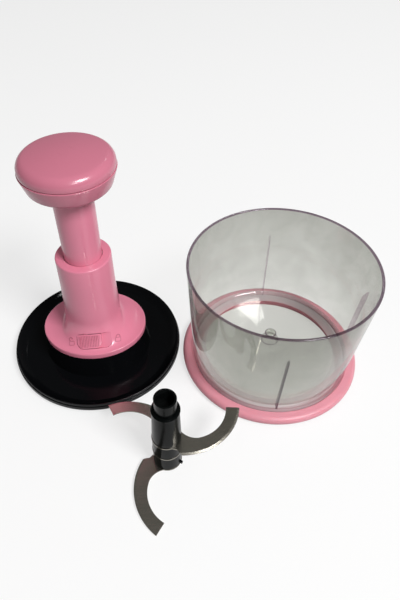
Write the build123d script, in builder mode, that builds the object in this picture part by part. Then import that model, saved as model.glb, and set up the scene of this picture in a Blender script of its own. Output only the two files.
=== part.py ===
from build123d import *
import os
from math import acos, cos, hypot, pi, radians, sin, sqrt, tan

os.makedirs("parts", exist_ok=True)

# Plunger food chopper, laid out on a table in its three groups: the lid with its plunger,
# the blade unit, and the bowl in its base ring. Millimetres, +Z up, table at z = 0.

# ---------------------------------------------------------------- clearances
running_gap = 0.06          # a shaft turning in its bore, on the radius
slide_gap = 0.35            # sliding pieces and pieces that pass each other, on each side
seat_gap = 0.3              # a piece that drops into its seat, on the radius
end_gap = 0.05              # turning pieces end to end
gear_slack = 0.1            # taken off each flank of a gear tooth at its pitch circle
overlap = 0.5               # how far cuts run past a face, and joined forms into each other
edge_break = 0.5            # small bevel on moulded edges

# ---------------------------------------------------------------- bowl and base ring
bowl_foot_r = 71.6          # outer radius of the bowl where it stands in the ring
bowl_rim_r = 79.3
bowl_rim_z = 113.3
bowl_wall = 2.4
bowl_step = 0.4             # how much wider the wall starts than the foot below it
rim_round = 0.8
floor_z = 12.4              # top of the bowl's floor
floor_t = 2.8
floor_round = 4.0           # inner corner between floor and wall
floor_round_ease = 1.05     # its arc's radius as a share of that, because the wall leans outwards
ring_h = 9.0
ring_wall = 9.6             # the soft base ring outside the bowl's foot
ring_lip = 1.2              # lead-in at its inner edge
ring_sole_t = 2.6           # the flat sole under the bowl's foot
ring_sole_w = 7.9
fin_w = 2.4                 # the four upright fins inside the wall
fin_depth = 2.6
fin_below_rim = 29.3
fin_count = 4
fin_angle = -4.0            # turn of the first fin about the bowl
post_r = 5.3                # pin of the shouldered centre post
post_pin_l = 8.5
post_shoulder_w = 2.7
post_base_h = 8.6

ring_in_r = bowl_foot_r + seat_gap
ring_outer_r = ring_in_r + ring_wall
fin_top_z = bowl_rim_z - fin_below_rim
post_shoulder_z = floor_z + post_base_h
post_top_z = post_shoulder_z + post_pin_l

# ---------------------------------------------------------------- blade unit
bush_wall = 1.7             # plain bearing that stays on the bowl's post
bush_l = 14.0
bush_flange_t = 1.2
bush_flange_w = 1.14
core_wall = 1.38            # inner tube that carries blades, spacers and sleeve
core_lip_t = 1.3
core_lip_w = 2.1
blade_t = 1.2
spacer_h = 16.0
spacer_wall = 3.1
spacer_bevel = 0.3
lug_angle = -28.0           # small locating lug at the foot of the lowest spacer
lug = (3.4, 1.8, 2.4)
sleeve_wall_foot = 3.0
sleeve_foot_h = 4.0
sleeve_wall_top = 1.9
collar_h = 2.6              # raised collar at the sleeve's top
collar_proud = 0.55
nose_h = 13.5               # how far the nose stands out of the sleeve
nose_below_rim = 2.3        # in use the nose ends this far under the bowl's rim
nose_wall = 1.8
nose_recess_depth = 12.0
nose_flat_depth = 2.0       # thickness of the recess's drive flat
nose_flat_drop = 0.8
nose_flat_turn = 25.0
blade_root_w = 3.4          # ring of each blade around the inner tube
blade_gap = 3.57            # blade tips to the bowl's fins
blade_corner = (-20.2, -1.4)        # where the neck meets the outer edge
blade_outer_mid = (-27.4, -29.0)
blade_tip_outer = (-10.2, -62.6)
blade_tip_inner = (-4.0, -53.6)
blade_inner_mid = (-16.3, -35.0)
blade_heel = (-14.9, -19.8)         # where the inner edge turns towards the hub
blade_heel_mid = (-10.4, -14.3)
blade_heel_end = (-2.4, -11.3)
blade_neck = ((-6, 8.0), (-11.4, 2.6), (-14.6, -0.6))
blade_bevel_w = 1.7
blade_bevel_h = 0.7
blade_turn = 120.0          # each blade is turned this much against the one below

bush_in_r = post_r + running_gap
bush_r = bush_in_r + bush_wall
core_in_r = bush_r + running_gap
core_r = core_in_r + core_wall
spacer_r = core_r + spacer_wall
nose_top_z = bowl_rim_z - post_shoulder_z - nose_below_rim
nose_recess_r = core_r - nose_wall
nose_flat = nose_recess_r - nose_flat_depth
sleeve_top_z = nose_top_z - nose_h
blade_root_r = core_r + blade_root_w
blade_reach = bowl_foot_r + bowl_step - bowl_wall - fin_depth - blade_gap
blade_scale = blade_reach / hypot(*blade_tip_outer)

# ---------------------------------------------------------------- drive inside the lid
gear_module = 1.2
pressure_angle = radians(25)
sun_teeth = 15
planet_teeth = 15
planet_count = 3
planet_addendum = 0.95      # tooth heights in modules
planet_dedendum = 1.2
ring_addendum = 0.8
ring_dedendum = 1.25
gear_z = 12.0
gear_t = 6.6
drum_wall = 3.0
drum_disc_gap = 0.8         # drum's disc above the gears
drum_disc_t = 2.2
drum_hub_wall = 2.55        # hub outside the spindle's corners
drum_hub_proud = 3.0
spindle_side = 7.0
spindle_lead = 60.0         # length of one turn of the twisted spindle
spindle_tail_gap = 0.1
spindle_proud = 1.0         # spindle's end above the nut's web when the plunger is up
nut_hole_gap = 0.25         # square hole in the nut, on each side
spigot_z = 0.6
spigot_gap = 0.5            # spigot in the nose's recess, on the radius
flat_gap = 0.3
journal_step = 0.3
journal_l = 4.0
stub_r = 4.0
stub_l = 4.6
stub_bore_depth = 4.2
stub_bore_floor = 1.4
pin_r = 2.5
cover_z = 0.5
cover_t = 2.0
cover_lap = 2.4             # how far the cover reaches past the hollow it closes
socket_gap = 0.8            # hole in the cover around the blade unit's nose
boss_wall = 2.0
collar_wall = 2.4
collar_drop = 1.4           # collar's top below the gears
output_bush_l = 3.0
output_bush_proud = 0.8
drum_bush_wall = 1.8
drum_bush_flange = 2.0
drum_bush_drop = 1.0
drum_bush_proud = 1.2
spring_wire = 1.5
spring_turns = 8
seat_t = 2.2
seat_w = 4.0

sun_pitch_r = gear_module * sun_teeth / 2
planet_pitch_r = gear_module * planet_teeth / 2
planet_axis_r = sun_pitch_r + planet_pitch_r
ring_teeth = sun_teeth + 2 * planet_teeth
ring_pitch_r = gear_module * ring_teeth / 2
disc_z = gear_z + gear_t + drum_disc_gap
drum_r = ring_pitch_r + ring_dedendum * gear_module + drum_wall
drum_hub_r = round(spindle_side / sqrt(2) + drum_hub_wall, 3)
drum_bush_r = drum_hub_r + running_gap + drum_bush_wall
spigot_r = nose_recess_r - spigot_gap
journal_r = spigot_r + journal_step
socket_r = core_r + socket_gap

# ---------------------------------------------------------------- fasteners
screw_r = 1.5
screw_head_r = 2.8
screw_head_t = 1.2
cross_slot_w = 0.6
cross_slot_depth = 0.7
cross_slot_reach = 1.2      # its length as a share of the head's radius
cover_screw_l = 9.0
housing_screw_l = 8.0       # above the inside of the plateau
housing_boss_w = 2.0
knob_screw_l = 9.5          # above the underside of the tube's closed top

# ---------------------------------------------------------------- lid plate
lid_overhang = 0.7          # lid's edge outside the bowl's rim
plug_gap = 1.9              # wall that goes down inside the bowl, filled by the gasket's lip
plug_wall = 2.4
lid_edge_z = 4.5            # underside of the edge that lies on the bowl's rim
lid_edge_t = 6.5
lid_edge_round = 0.9
lid_step_w = 0.8            # small step around the outside of the lid's edge
lid_step_z = 7.6
lid_rim_w = 1.9
lid_slope_w = 8.1           # sloped inner side of the lid's edge
lid_slope_sag = 0.9
dish_z = 5.0
dish_t = 2.4
gasket_proud = 1.5
gasket_z = 0.2
gasket_h = 2.2
plateau_margin = (15.1, 8.8)        # half axes of the raised oval middle outside the drum
plateau_slope = 4.0
plateau_wall = 2.5
plateau_room = 6.4          # its top above the drum's disc
pillar_margin = 7.1         # screw pillars outside the drum
pillar_y = 9.0
pillar_r = 3.5

lid_r = bowl_rim_r + lid_overhang
plug_r = bowl_rim_r - bowl_wall - plug_gap
lid_top_z = lid_edge_z + lid_edge_t
lid_slope_r = lid_r - lid_rim_w - lid_slope_w
plateau_z = disc_z + drum_disc_t + plateau_room
plateau_top = (drum_r + plateau_margin[0], drum_r + plateau_margin[1])
plateau_foot = (plateau_top[0] + plateau_slope, plateau_top[1] + plateau_slope)
cover_r = plateau_foot[0] + cover_lap
drum_hub_top_z = plateau_z + drum_hub_proud
cover_screw_at = [(sx * (drum_r + pillar_margin), sy * pillar_y) for sx in (-1, 1) for sy in (-1, 1)]
housing_screw_share = (0.6223, 0.5955)  # of the plateau's half axes
housing_screw_at = [
    (sx * plateau_top[0] * housing_screw_share[0], sy * plateau_top[1] * housing_screw_share[1])
    for sx in (-1, 1)
    for sy in (-1, 1)
]

# ---------------------------------------------------------------- plunger and its housing
stroke = 57.0
tube_r = 16.0
tube_wall = 2.0
tube_top_t = 2.5            # closed top that the knob is screwed to
tube_in_cup = 11.0
nut_flange_t = 4.0
nut_bore_depth = 12.0
nut_web_t = 6.0
nut_wall = 2.75
spring_gap = 0.5
tower_gap = 4.6             # tower's bore around the tube, on the radius
tower_wall = 3.2
tower_draft = 0.7
tower_foot_extra = 0.5      # thicker wall at the tower's foot
tower_cap_t = 2.6
tower_edge = (1.2, 0.35)    # rounded top edge
hole_gap = 0.1
guide_bush_l = 13.5
bush_clear = 1.4            # guide bush above the nut
flange_lap = (1.1, 0.0)     # oval flange's half axes outside the plateau's
flange_y = -1.1             # its centre in front of the tower's axis
flange_h = 6.0
flange_slope_h = 4.4        # rise of its top towards the tower
flange_wall = 2.5
foot_arc_r = 12.0           # concave foot of the tower
foot_arc_w = 6.2
foot_arc_low = 9.6          # its lower and upper end above the plateau
foot_arc_high = 20.0
foot_arc_merge = (0.5, -1.5)
# front ramp: half axes against the tower's foot, centre y, height above the plateau
ramp_sections = (
    (5.7, 0.9, -15.0, 5.0),
    (1.7, -2.0, -8.5, 14.0),
    (-0.3, -0.5, 0.0, 29.0),
)
rib_count = 3               # ribs in the tower that keep the nut from turning
rib_w = 3.0
rib_h = 1.7
rib_sink = 0.3
knob_rise = 10.5            # knob above the tower at the stroke's end
knob_wall = 2.4
knob_seam = 0.4
cup_foot_w = 15.5           # cup's foot outside the tube
cup_foot_lip = 0.7          # its rounded edge outside the foot
cup_rim_r = 36.6
cup_h = 14.9
cup_foot_round = (3.0, 3.2, 2.1)
cup_collar_w = 2.2
cup_collar_h = 1.0
cap_step = 0.6              # cap's side inside the cup's rim
cap_side_h = 3.5
cap_round_w = 7.5           # rounded shoulder between the cap's side and its dome
cap_round_h = 6.8
cap_h = 9.6
spigot_drop = 2.6           # how far the cap's locating wall reaches down into the cup
spigot_wall = 1.5
collar_rib_gap = 0.4
tube_screw_in = 7.0         # screws through the tube's closed top, from the tube's outside
boss_r = 3.2
boss_bore_l = 8.0

# ---------------------------------------------------------------- lock
slot_w = 31.6
slot_h = 13.4
slot_at = (2.3, -31.5, 13.1)        # from the lid's centre and the plateau's top
slot_tilt = 49.0                    # slope of the ramp there
slot_turn = 2.5                     # the slot rises to the right by this angle
slot_depth = 4.0
slot_round_low = 0.45               # corner radii as shares of the slot's height
slot_round_high = 0.2
slot_cut = 8.0                      # how far cuts and blocks reach out of the ramp
lock_travel = 9.0
button_proud = 0.4
grip_h = 0.8                # fine ribs across the button
grip_pitch = 1.45
grip_count = 13
tongue = (3.6, 10.0, 1.8)
tongue_x = -5.5
tongue_h = 15.4             # above the plateau
tongue_reach = 2.0          # into the tower's bore
tongue_gap = 0.4            # over the nut's flange when it is down
window_gap = (0.5, 3.0, 0.5, 1.2)   # around the tongue: each side, along it, below, above
notch_gap = 1.3

# heights that follow the stroke
tongue_z = plateau_z + tongue_h
nut_flange_z = tongue_z - tongue_gap + stroke - nut_flange_t
nut_web_z = nut_flange_z + nut_bore_depth
tube_z = nut_flange_z + nut_flange_t
bush_fit_z = tube_z + bush_clear
tower_cap_z = bush_fit_z + guide_bush_l
tower_top_z = tower_cap_z + tower_cap_t
spindle_top_z = nut_web_z + nut_web_t + spindle_proud
cup_z = tower_top_z + stroke + knob_rise
cup_rim_z = cup_z + cup_h
tube_top_z = cup_z + tube_in_cup
cap_z = cup_rim_z + knob_seam
cap_shoulder_z = cup_rim_z + cap_side_h
cap_top_z = cap_shoulder_z + cap_h

# radii that follow the tube
tower_in_r = tube_r + tower_gap
tower_foot_r = tower_in_r + tower_wall + tower_foot_extra
tower_top_r = tower_foot_r - tower_draft
foot_arc_flange_r = tower_foot_r + foot_arc_w
flange = (plateau_top[0] + flange_lap[0], plateau_top[1] + flange_lap[1])
rib_in_r = tower_in_r - rib_h
nut_r = tower_in_r - slide_gap
spring_r = tube_r - tube_wall - nut_wall - spring_gap - spring_wire / 2
cup_foot_r = tube_r + cup_foot_w
cap_r = cup_rim_r - cap_step
tongue_tip_y = tongue_reach - tower_in_r
tube_screw_at = [
    ((tube_r - tube_screw_in) * cos(radians(a)), (tube_r - tube_screw_in) * sin(radians(a)))
    for a in (90, 210, 330)
]

# ---------------------------------------------------------------- layout on the table
group_gap = 3.85            # between the lid and the base ring
sweep_gap = 1.55            # around the circle that the blades sweep
row_turn = radians(-6.46)   # direction from the lid to the bowl

lid_to_bowl = lid_r + ring_outer_r + group_gap
lid_to_blades = plug_r + gasket_proud + blade_reach + sweep_gap
bowl_to_blades = ring_outer_r + blade_reach + sweep_gap
blades_turn = row_turn - acos(
    (lid_to_bowl**2 + lid_to_blades**2 - bowl_to_blades**2) / (2 * lid_to_bowl * lid_to_blades)
)
layout_w = lid_r + lid_to_bowl * cos(row_turn) + ring_outer_r
layout_d = lid_r - lid_to_blades * sin(blades_turn) - blade_tip_outer[1] * blade_scale
lid_x = lid_r - layout_w / 2
lid_y = layout_d / 2 - lid_r
bowl_x = lid_x + lid_to_bowl * cos(row_turn)
bowl_y = lid_y + lid_to_bowl * sin(row_turn)
blade_x = lid_x + lid_to_blades * cos(blades_turn)
blade_y = lid_y + lid_to_blades * sin(blades_turn)


# ================================================================ shared helpers
def lid_plane(z):
    return Plane((lid_x, lid_y, z))


def blade_plane(z):
    return Plane((blade_x, blade_y, z))


def side_plane(x, y, turn=0.0):
    """Upright plane through an axis at x, y: sketch x is the radius and sketch y the height."""
    a = radians(turn)
    return Plane((x, y, 0), x_dir=(cos(a), sin(a), 0), z_dir=(sin(a), -cos(a), 0))


def ring(plane, outer_r, inner_r, height):
    """A plain tube or washer."""
    with BuildPart() as made:
        with BuildSketch(plane):
            Circle(outer_r)
            Circle(inner_r, mode=Mode.SUBTRACT)
        extrude(amount=height)
    return made.part


def turned(x, y, points):
    """A closed profile of (radius, height) points, turned about the upright axis at x, y."""
    with BuildPart() as made:
        with BuildSketch(side_plane(x, y)):
            with BuildLine():
                Polyline(*points, close=True)
            make_face()
        revolve(axis=Axis((x, y, 0), (0, 0, 1)))
    return made.part


def screws(points, head_z, length):
    """Cross-head screws driven in from below, the outer face of their heads at head_z."""
    slot_l = screw_head_r * cross_slot_reach
    with BuildPart() as made:
        with BuildSketch(lid_plane(head_z)):
            with Locations(*points):
                Circle(screw_head_r)
        extrude(amount=screw_head_t)
        with BuildSketch(lid_plane(head_z)):
            with Locations(*points):
                Circle(screw_r)
        extrude(amount=length)
        with BuildSketch(lid_plane(head_z)):
            with Locations(*points):
                Rectangle(slot_l, cross_slot_w)
                Rectangle(cross_slot_w, slot_l)
        extrude(amount=cross_slot_depth, mode=Mode.SUBTRACT)
    return made.part


def involute(angle):
    return tan(angle) - angle


def gear_outline(teeth, root_r, tip_r, slack):
    """Closed outline of an involute gear, or of an internal gear's hole when slack is negative."""
    pitch_r = gear_module * teeth / 2
    base_r = pitch_r * cos(pressure_angle)
    half = pi / (2 * teeth) - slack / pitch_r

    def flank(r):
        near = max(r, base_r)
        return half + involute(pressure_angle) - involute(acos(base_r / near))

    start_r = max(root_r, base_r)
    middle_r = (start_r + tip_r) / 2
    with BuildLine() as outline:
        for i in range(teeth):
            turn = 2 * pi * i / teeth
            following = 2 * pi * (i + 1) / teeth

            def at(r, angle):
                return (r * cos(turn + angle), r * sin(turn + angle))

            if root_r < base_r:
                Line(at(root_r, -flank(root_r)), at(start_r, -flank(start_r)))
            rising = [at(r, -flank(r)) for r in (start_r, middle_r, tip_r)]
            falling = [at(r, flank(r)) for r in (tip_r, middle_r, start_r)]
            ThreePointArc(*rising)
            Line(rising[2], falling[0])
            ThreePointArc(*falling)
            if root_r < base_r:
                Line(at(start_r, flank(start_r)), at(root_r, flank(root_r)))
            Line(at(root_r, flank(root_r)), at(root_r, following - turn - flank(root_r)))
    return outline.wire()


def outer_gear(teeth, pitch_r):
    """Outline of the sun's or a planet's teeth."""
    return gear_outline(
        teeth,
        pitch_r - planet_dedendum * gear_module,
        pitch_r + planet_addendum * gear_module,
        gear_slack,
    )


def finish(part, label):
    part.label = label
    export_step(part, f"parts/{label}.step")


# ================================================================ bowl and base ring
bead_r = ring_h / 2
bead_x = ring_outer_r - bead_r
with BuildPart() as base_ring:
    with BuildSketch(side_plane(bowl_x, bowl_y)):
        with BuildLine():
            Polyline(
                (bead_x, ring_h),
                (ring_in_r + ring_lip, ring_h),
                (ring_in_r, ring_h - ring_lip),
                (ring_in_r, ring_sole_t),
                (ring_in_r - ring_sole_w, ring_sole_t),
                (ring_in_r - ring_sole_w, 0),
                (bead_x, 0),
            )
            ThreePointArc((bead_x, 0), (ring_outer_r, bead_r), (bead_x, ring_h))
        make_face()
    revolve(axis=Axis((bowl_x, bowl_y, 0), (0, 0, 1)))
finish(base_ring.part, "base_ring")


def wall_r(z):
    """Outer radius of the bowl's tapered wall at a height."""
    foot_r = bowl_foot_r + bowl_step
    share = (z - floor_z) / (bowl_rim_z - floor_z)
    return foot_r + (bowl_rim_r - foot_r) * share


skirt_in_r = bowl_foot_r - bowl_wall
floor_edge_r = wall_r(floor_z) - bowl_wall - floor_round
wall_foot = (wall_r(floor_z + floor_round) - bowl_wall, floor_z + floor_round)
inner_rim_round = bowl_wall / 4
with BuildPart() as bowl:
    with BuildSketch(side_plane(bowl_x, bowl_y)):
        with BuildLine():
            Polyline(
                (0, floor_z - floor_t),
                (skirt_in_r, floor_z - floor_t),
                (skirt_in_r, ring_sole_t),
                (bowl_foot_r, ring_sole_t),
                (wall_r(floor_z), floor_z),
                (bowl_rim_r, bowl_rim_z - rim_round),
                (bowl_rim_r - rim_round, bowl_rim_z),
                (bowl_rim_r - bowl_wall + inner_rim_round, bowl_rim_z),
                (bowl_rim_r - bowl_wall, bowl_rim_z - inner_rim_round),
                wall_foot,
            )
            RadiusArc(wall_foot, (floor_edge_r, floor_z), floor_round * floor_round_ease)
            Polyline(
                (floor_edge_r, floor_z),
                (post_r + post_shoulder_w, floor_z),
                (post_r + post_shoulder_w, post_shoulder_z),
                (post_r, post_shoulder_z),
                (post_r, post_top_z - rim_round),
                (post_r - rim_round, post_top_z),
                (0, post_top_z),
                (0, floor_z - floor_t),
            )
        make_face()
    revolve(axis=Axis((bowl_x, bowl_y, 0), (0, 0, 1)))
    for i in range(fin_count):
        with BuildSketch(side_plane(bowl_x, bowl_y, fin_angle + 360 / fin_count * i)):
            with BuildLine():
                Polyline(
                    (floor_edge_r, floor_z - overlap),
                    (wall_r(floor_z) - bowl_wall / 2, floor_z - overlap),
                    (wall_r(fin_top_z) - bowl_wall / 2, fin_top_z),
                    (wall_r(fin_top_z) - bowl_wall, fin_top_z),
                    (wall_r(fin_top_z) - bowl_wall - fin_depth, fin_top_z - 2 * fin_depth),
                    (wall_r(floor_z) - bowl_wall - fin_depth, floor_z + floor_round),
                    close=True,
                )
            make_face()
        extrude(amount=fin_w / 2, both=True)
finish(bowl.part, "bowl")

# ================================================================ blade unit
finish(
    turned(
        blade_x,
        blade_y,
        [
            (bush_in_r, 0),
            (bush_r + bush_flange_w, 0),
            (bush_r + bush_flange_w, bush_flange_t),
            (bush_r, bush_flange_t),
            (bush_r, bush_l),
            (bush_in_r, bush_l),
        ],
    ),
    "foot_bush",
)

core_foot_z = bush_flange_t + end_gap
stack_z = core_foot_z + core_lip_t
pitch_z = blade_t + spacer_h
recess_z = nose_top_z - nose_recess_depth
with BuildPart() as hub_core:
    with BuildSketch(blade_plane(core_foot_z)):
        Circle(core_r + core_lip_w)
    extrude(amount=core_lip_t)
    with BuildSketch(blade_plane(core_foot_z)):
        Circle(core_r)
    extrude(amount=nose_top_z - core_foot_z)
    with BuildSketch(blade_plane(core_foot_z)):
        Circle(core_in_r)
    extrude(amount=bush_l + overlap - core_foot_z + edge_break, mode=Mode.SUBTRACT)
    with BuildSketch(blade_plane(recess_z)):
        Circle(nose_recess_r)
    extrude(amount=nose_recess_depth, mode=Mode.SUBTRACT)
    chamfer(hub_core.edges().filter_by(GeomType.CIRCLE).group_by(Axis.Z)[-1], edge_break)
finish(hub_core.part, "hub_core")

# the drive flat: a light insert that fills one side of the nose's recess
flat_half = sqrt(nose_recess_r**2 - nose_flat**2)
with BuildPart() as drive_flat:
    with BuildSketch(blade_plane(recess_z)):
        with BuildLine(Plane.XY.rotated((0, 0, nose_flat_turn))):
            ThreePointArc((-flat_half, nose_flat), (0, nose_recess_r), (flat_half, nose_flat))
            Line((flat_half, nose_flat), (-flat_half, nose_flat))
        make_face()
    extrude(amount=nose_recess_depth - nose_flat_drop)
finish(drive_flat.part, "drive_flat")


def spacer(z):
    with BuildPart() as made:
        with BuildSketch(blade_plane(z)):
            Circle(spacer_r)
            Circle(core_r, mode=Mode.SUBTRACT)
        extrude(amount=spacer_h)
        chamfer(made.faces().sort_by(Axis.Z)[-1].outer_wire().edges(), spacer_bevel)
    return made.part


with BuildPart() as lower_spacer:
    add(spacer(stack_z + blade_t))
    with BuildSketch(blade_plane(stack_z + blade_t + end_gap)):
        with PolarLocations(spacer_r + seat_gap, 1, start_angle=lug_angle):
            Rectangle(lug[0], lug[1])
    extrude(amount=lug[2])
finish(lower_spacer.part, "lower_spacer")
finish(spacer(stack_z + pitch_z + blade_t), "upper_spacer")

sleeve_z = stack_z + 2 * pitch_z + blade_t
collar_z = sleeve_top_z - collar_h
sleeve_top_r = core_r + sleeve_wall_top
finish(
    turned(
        blade_x,
        blade_y,
        [
            (core_r, sleeve_z),
            (core_r + sleeve_wall_foot, sleeve_z),
            (core_r + sleeve_wall_foot, sleeve_z + sleeve_foot_h),
            (sleeve_top_r, collar_z - 2 * edge_break),
            (sleeve_top_r, collar_z),
            (sleeve_top_r + collar_proud, collar_z + edge_break),
            (sleeve_top_r + collar_proud, sleeve_top_z - 2 * edge_break),
            (sleeve_top_r - edge_break, sleeve_top_z),
            (core_r, sleeve_top_z),
        ],
    ),
    "hub_sleeve",
)


def scaled(point):
    """A point of the blade's outline, stretched with the blade's reach."""
    return (point[0] * blade_scale, point[1] * blade_scale)


def blade(z, turn):
    """One sickle blade with its root ring, ground along the outer edge, turned about the hub."""
    with BuildPart() as made:
        with BuildSketch(blade_plane(z).rotated((0, 0, turn))):
            Circle(blade_root_r)
            with BuildLine():
                Polyline(*blade_neck, scaled(blade_corner))
                ThreePointArc(scaled(blade_corner), scaled(blade_outer_mid), scaled(blade_tip_outer))
                Line(scaled(blade_tip_outer), scaled(blade_tip_inner))
                ThreePointArc(scaled(blade_tip_inner), scaled(blade_inner_mid), scaled(blade_heel))
                ThreePointArc(scaled(blade_heel), scaled(blade_heel_mid), scaled(blade_heel_end))
                Polyline(scaled(blade_heel_end), (0, -core_r + overlap), blade_neck[0])
            make_face()
            Circle(core_r, mode=Mode.SUBTRACT)
        extrude(amount=blade_t)
        top = made.faces().sort_by(Axis.Z)[-1]
        ground = top.outer_wire().edges().sort_by(SortBy.LENGTH)[-1]
        chamfer(ground, length=blade_bevel_w, length2=blade_bevel_h, reference=top)
    return made.part


finish(blade(stack_z, 0), "lower_blade")
finish(blade(stack_z + pitch_z, -blade_turn), "middle_blade")
finish(blade(stack_z + 2 * pitch_z, blade_turn), "upper_blade")

# ================================================================ lid plate
dish_under_z = dish_z - dish_t
plateau_in_z = plateau_z - plateau_wall
rim_r = lid_r - lid_step_w
slope_top = (lid_r - lid_rim_w, lid_top_z)
slope_foot = (lid_slope_r, dish_z)
with BuildPart() as lid_plate:
    with BuildSketch(side_plane(lid_x, lid_y)):
        with BuildLine():
            Polyline(
                (0, dish_under_z),
                (lid_slope_r - 2 * edge_break, dish_under_z),
                (plug_r - plug_wall, dish_z - lid_edge_round),
                (plug_r - plug_wall, 0),
                (plug_r, 0),
                (plug_r, lid_edge_z),
                (lid_r, lid_edge_z),
                (lid_r, lid_step_z),
                (rim_r, lid_step_z),
                (rim_r, lid_top_z - lid_edge_round),
            )
            RadiusArc(
                (rim_r, lid_top_z - lid_edge_round),
                (rim_r - lid_edge_round, lid_top_z),
                -lid_edge_round,
            )
            Line((rim_r - lid_edge_round, lid_top_z), slope_top)
            ThreePointArc(
                slope_top,
                ((slope_top[0] + slope_foot[0]) / 2, (slope_top[1] + slope_foot[1]) / 2 - lid_slope_sag),
                slope_foot,
            )
            Polyline(slope_foot, (0, dish_z), (0, dish_under_z))
        make_face()
    revolve(axis=Axis((lid_x, lid_y, 0), (0, 0, 1)))
    # raised oval middle, hollow underneath for the gears
    with BuildSketch(lid_plane(dish_z - overlap)):
        Ellipse(*plateau_foot)
    with BuildSketch(lid_plane(plateau_z)):
        Ellipse(*plateau_top)
    loft()
    with BuildSketch(lid_plane(dish_under_z)):
        Ellipse(plateau_foot[0] - plateau_wall, plateau_foot[1] - plateau_wall)
    with BuildSketch(lid_plane(plateau_in_z)):
        Ellipse(plateau_top[0] - plateau_wall, plateau_top[1] - plateau_wall)
    loft(mode=Mode.SUBTRACT)
    with BuildSketch(lid_plane(dish_under_z)):
        with Locations(*cover_screw_at):
            Circle(pillar_r)
    extrude(amount=plateau_in_z - dish_under_z + overlap)
    with BuildSketch(lid_plane(dish_under_z)):
        with Locations(*cover_screw_at):
            Circle(screw_r)
    extrude(amount=cover_screw_l, mode=Mode.SUBTRACT)
    with BuildSketch(lid_plane(plateau_in_z - overlap)):
        Circle(drum_bush_r)
        with Locations(*housing_screw_at):
            Circle(screw_r)
    extrude(amount=plateau_wall + 2 * overlap, mode=Mode.SUBTRACT)
finish(lid_plate.part, "lid_plate")

with BuildPart() as lid_gasket:
    with BuildSketch(side_plane(lid_x, lid_y)):
        with BuildLine():
            Line((plug_r, gasket_z), (plug_r, gasket_z + gasket_h))
            ThreePointArc(
                (plug_r, gasket_z + gasket_h),
                (plug_r + gasket_proud, gasket_z + gasket_h / 2),
                (plug_r, gasket_z),
            )
        make_face()
    revolve(axis=Axis((lid_x, lid_y, 0), (0, 0, 1)))
finish(lid_gasket.part, "lid_gasket")


# ================================================================ plunger housing
def housing_form(grow):
    """Outer form of the housing, offset by grow: oval flange, tower with its concave foot, front ramp."""
    flange_top_z = plateau_z + flange_h + grow
    arc_low = (foot_arc_flange_r + grow, plateau_z + foot_arc_low)
    arc_high = (tower_foot_r + grow, plateau_z + foot_arc_high)
    top_r = tower_top_r + grow
    with BuildPart() as form:
        with BuildSketch(lid_plane(plateau_z)):
            with Locations((0, flange_y)):
                Ellipse(flange[0] + grow, flange[1] + grow)
        extrude(amount=flange_h + grow)
        with BuildSketch(lid_plane(flange_top_z)):
            with Locations((0, flange_y)):
                Ellipse(flange[0] + grow, flange[1] + grow)
        with BuildSketch(lid_plane(flange_top_z + flange_slope_h)):
            Ellipse(foot_arc_flange_r + foot_arc_merge[0], foot_arc_flange_r + foot_arc_merge[1])
        loft()
        with BuildSketch(side_plane(lid_x, lid_y)):
            with BuildLine():
                Polyline((0, plateau_z), (arc_low[0], plateau_z), arc_low)
                RadiusArc(arc_low, arc_high, foot_arc_r)
                Polyline(
                    arc_high,
                    (top_r, tower_top_z - tower_edge[0]),
                    (top_r - tower_edge[1], tower_top_z - tower_edge[1]),
                    (top_r - tower_edge[0], tower_top_z),
                    (0, tower_top_z),
                    (0, plateau_z),
                )
            make_face()
        revolve(axis=Axis((lid_x, lid_y, 0), (0, 0, 1)))
        for wider, deeper, centre_y, height in ramp_sections:
            with BuildSketch(lid_plane(plateau_z + height)):
                with Locations((0, centre_y)):
                    Ellipse(tower_foot_r + wider + grow, tower_foot_r + deeper + grow)
        loft()
    return form.part


slot_plane = Plane(
    (lid_x + slot_at[0], lid_y + slot_at[1], plateau_z + slot_at[2]),
    x_dir=(
        cos(radians(slot_turn)),
        sin(radians(slot_turn)) * cos(radians(slot_tilt)),
        sin(radians(slot_turn)) * sin(radians(slot_tilt)),
    ),
    z_dir=(0, -sin(radians(slot_tilt)), cos(radians(slot_tilt))),
)


def slot_outline(width, height):
    """Rounded outline of the lock's slot and button: large lower corners and small upper ones."""
    with BuildSketch() as outline:
        Rectangle(width, height)
        low = outline.vertices().group_by(Axis.Y)[0]
        high = outline.vertices().group_by(Axis.Y)[-1]
        fillet(low, height * slot_round_low)
        fillet(high, height * slot_round_high)
    return outline.sketch


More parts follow.
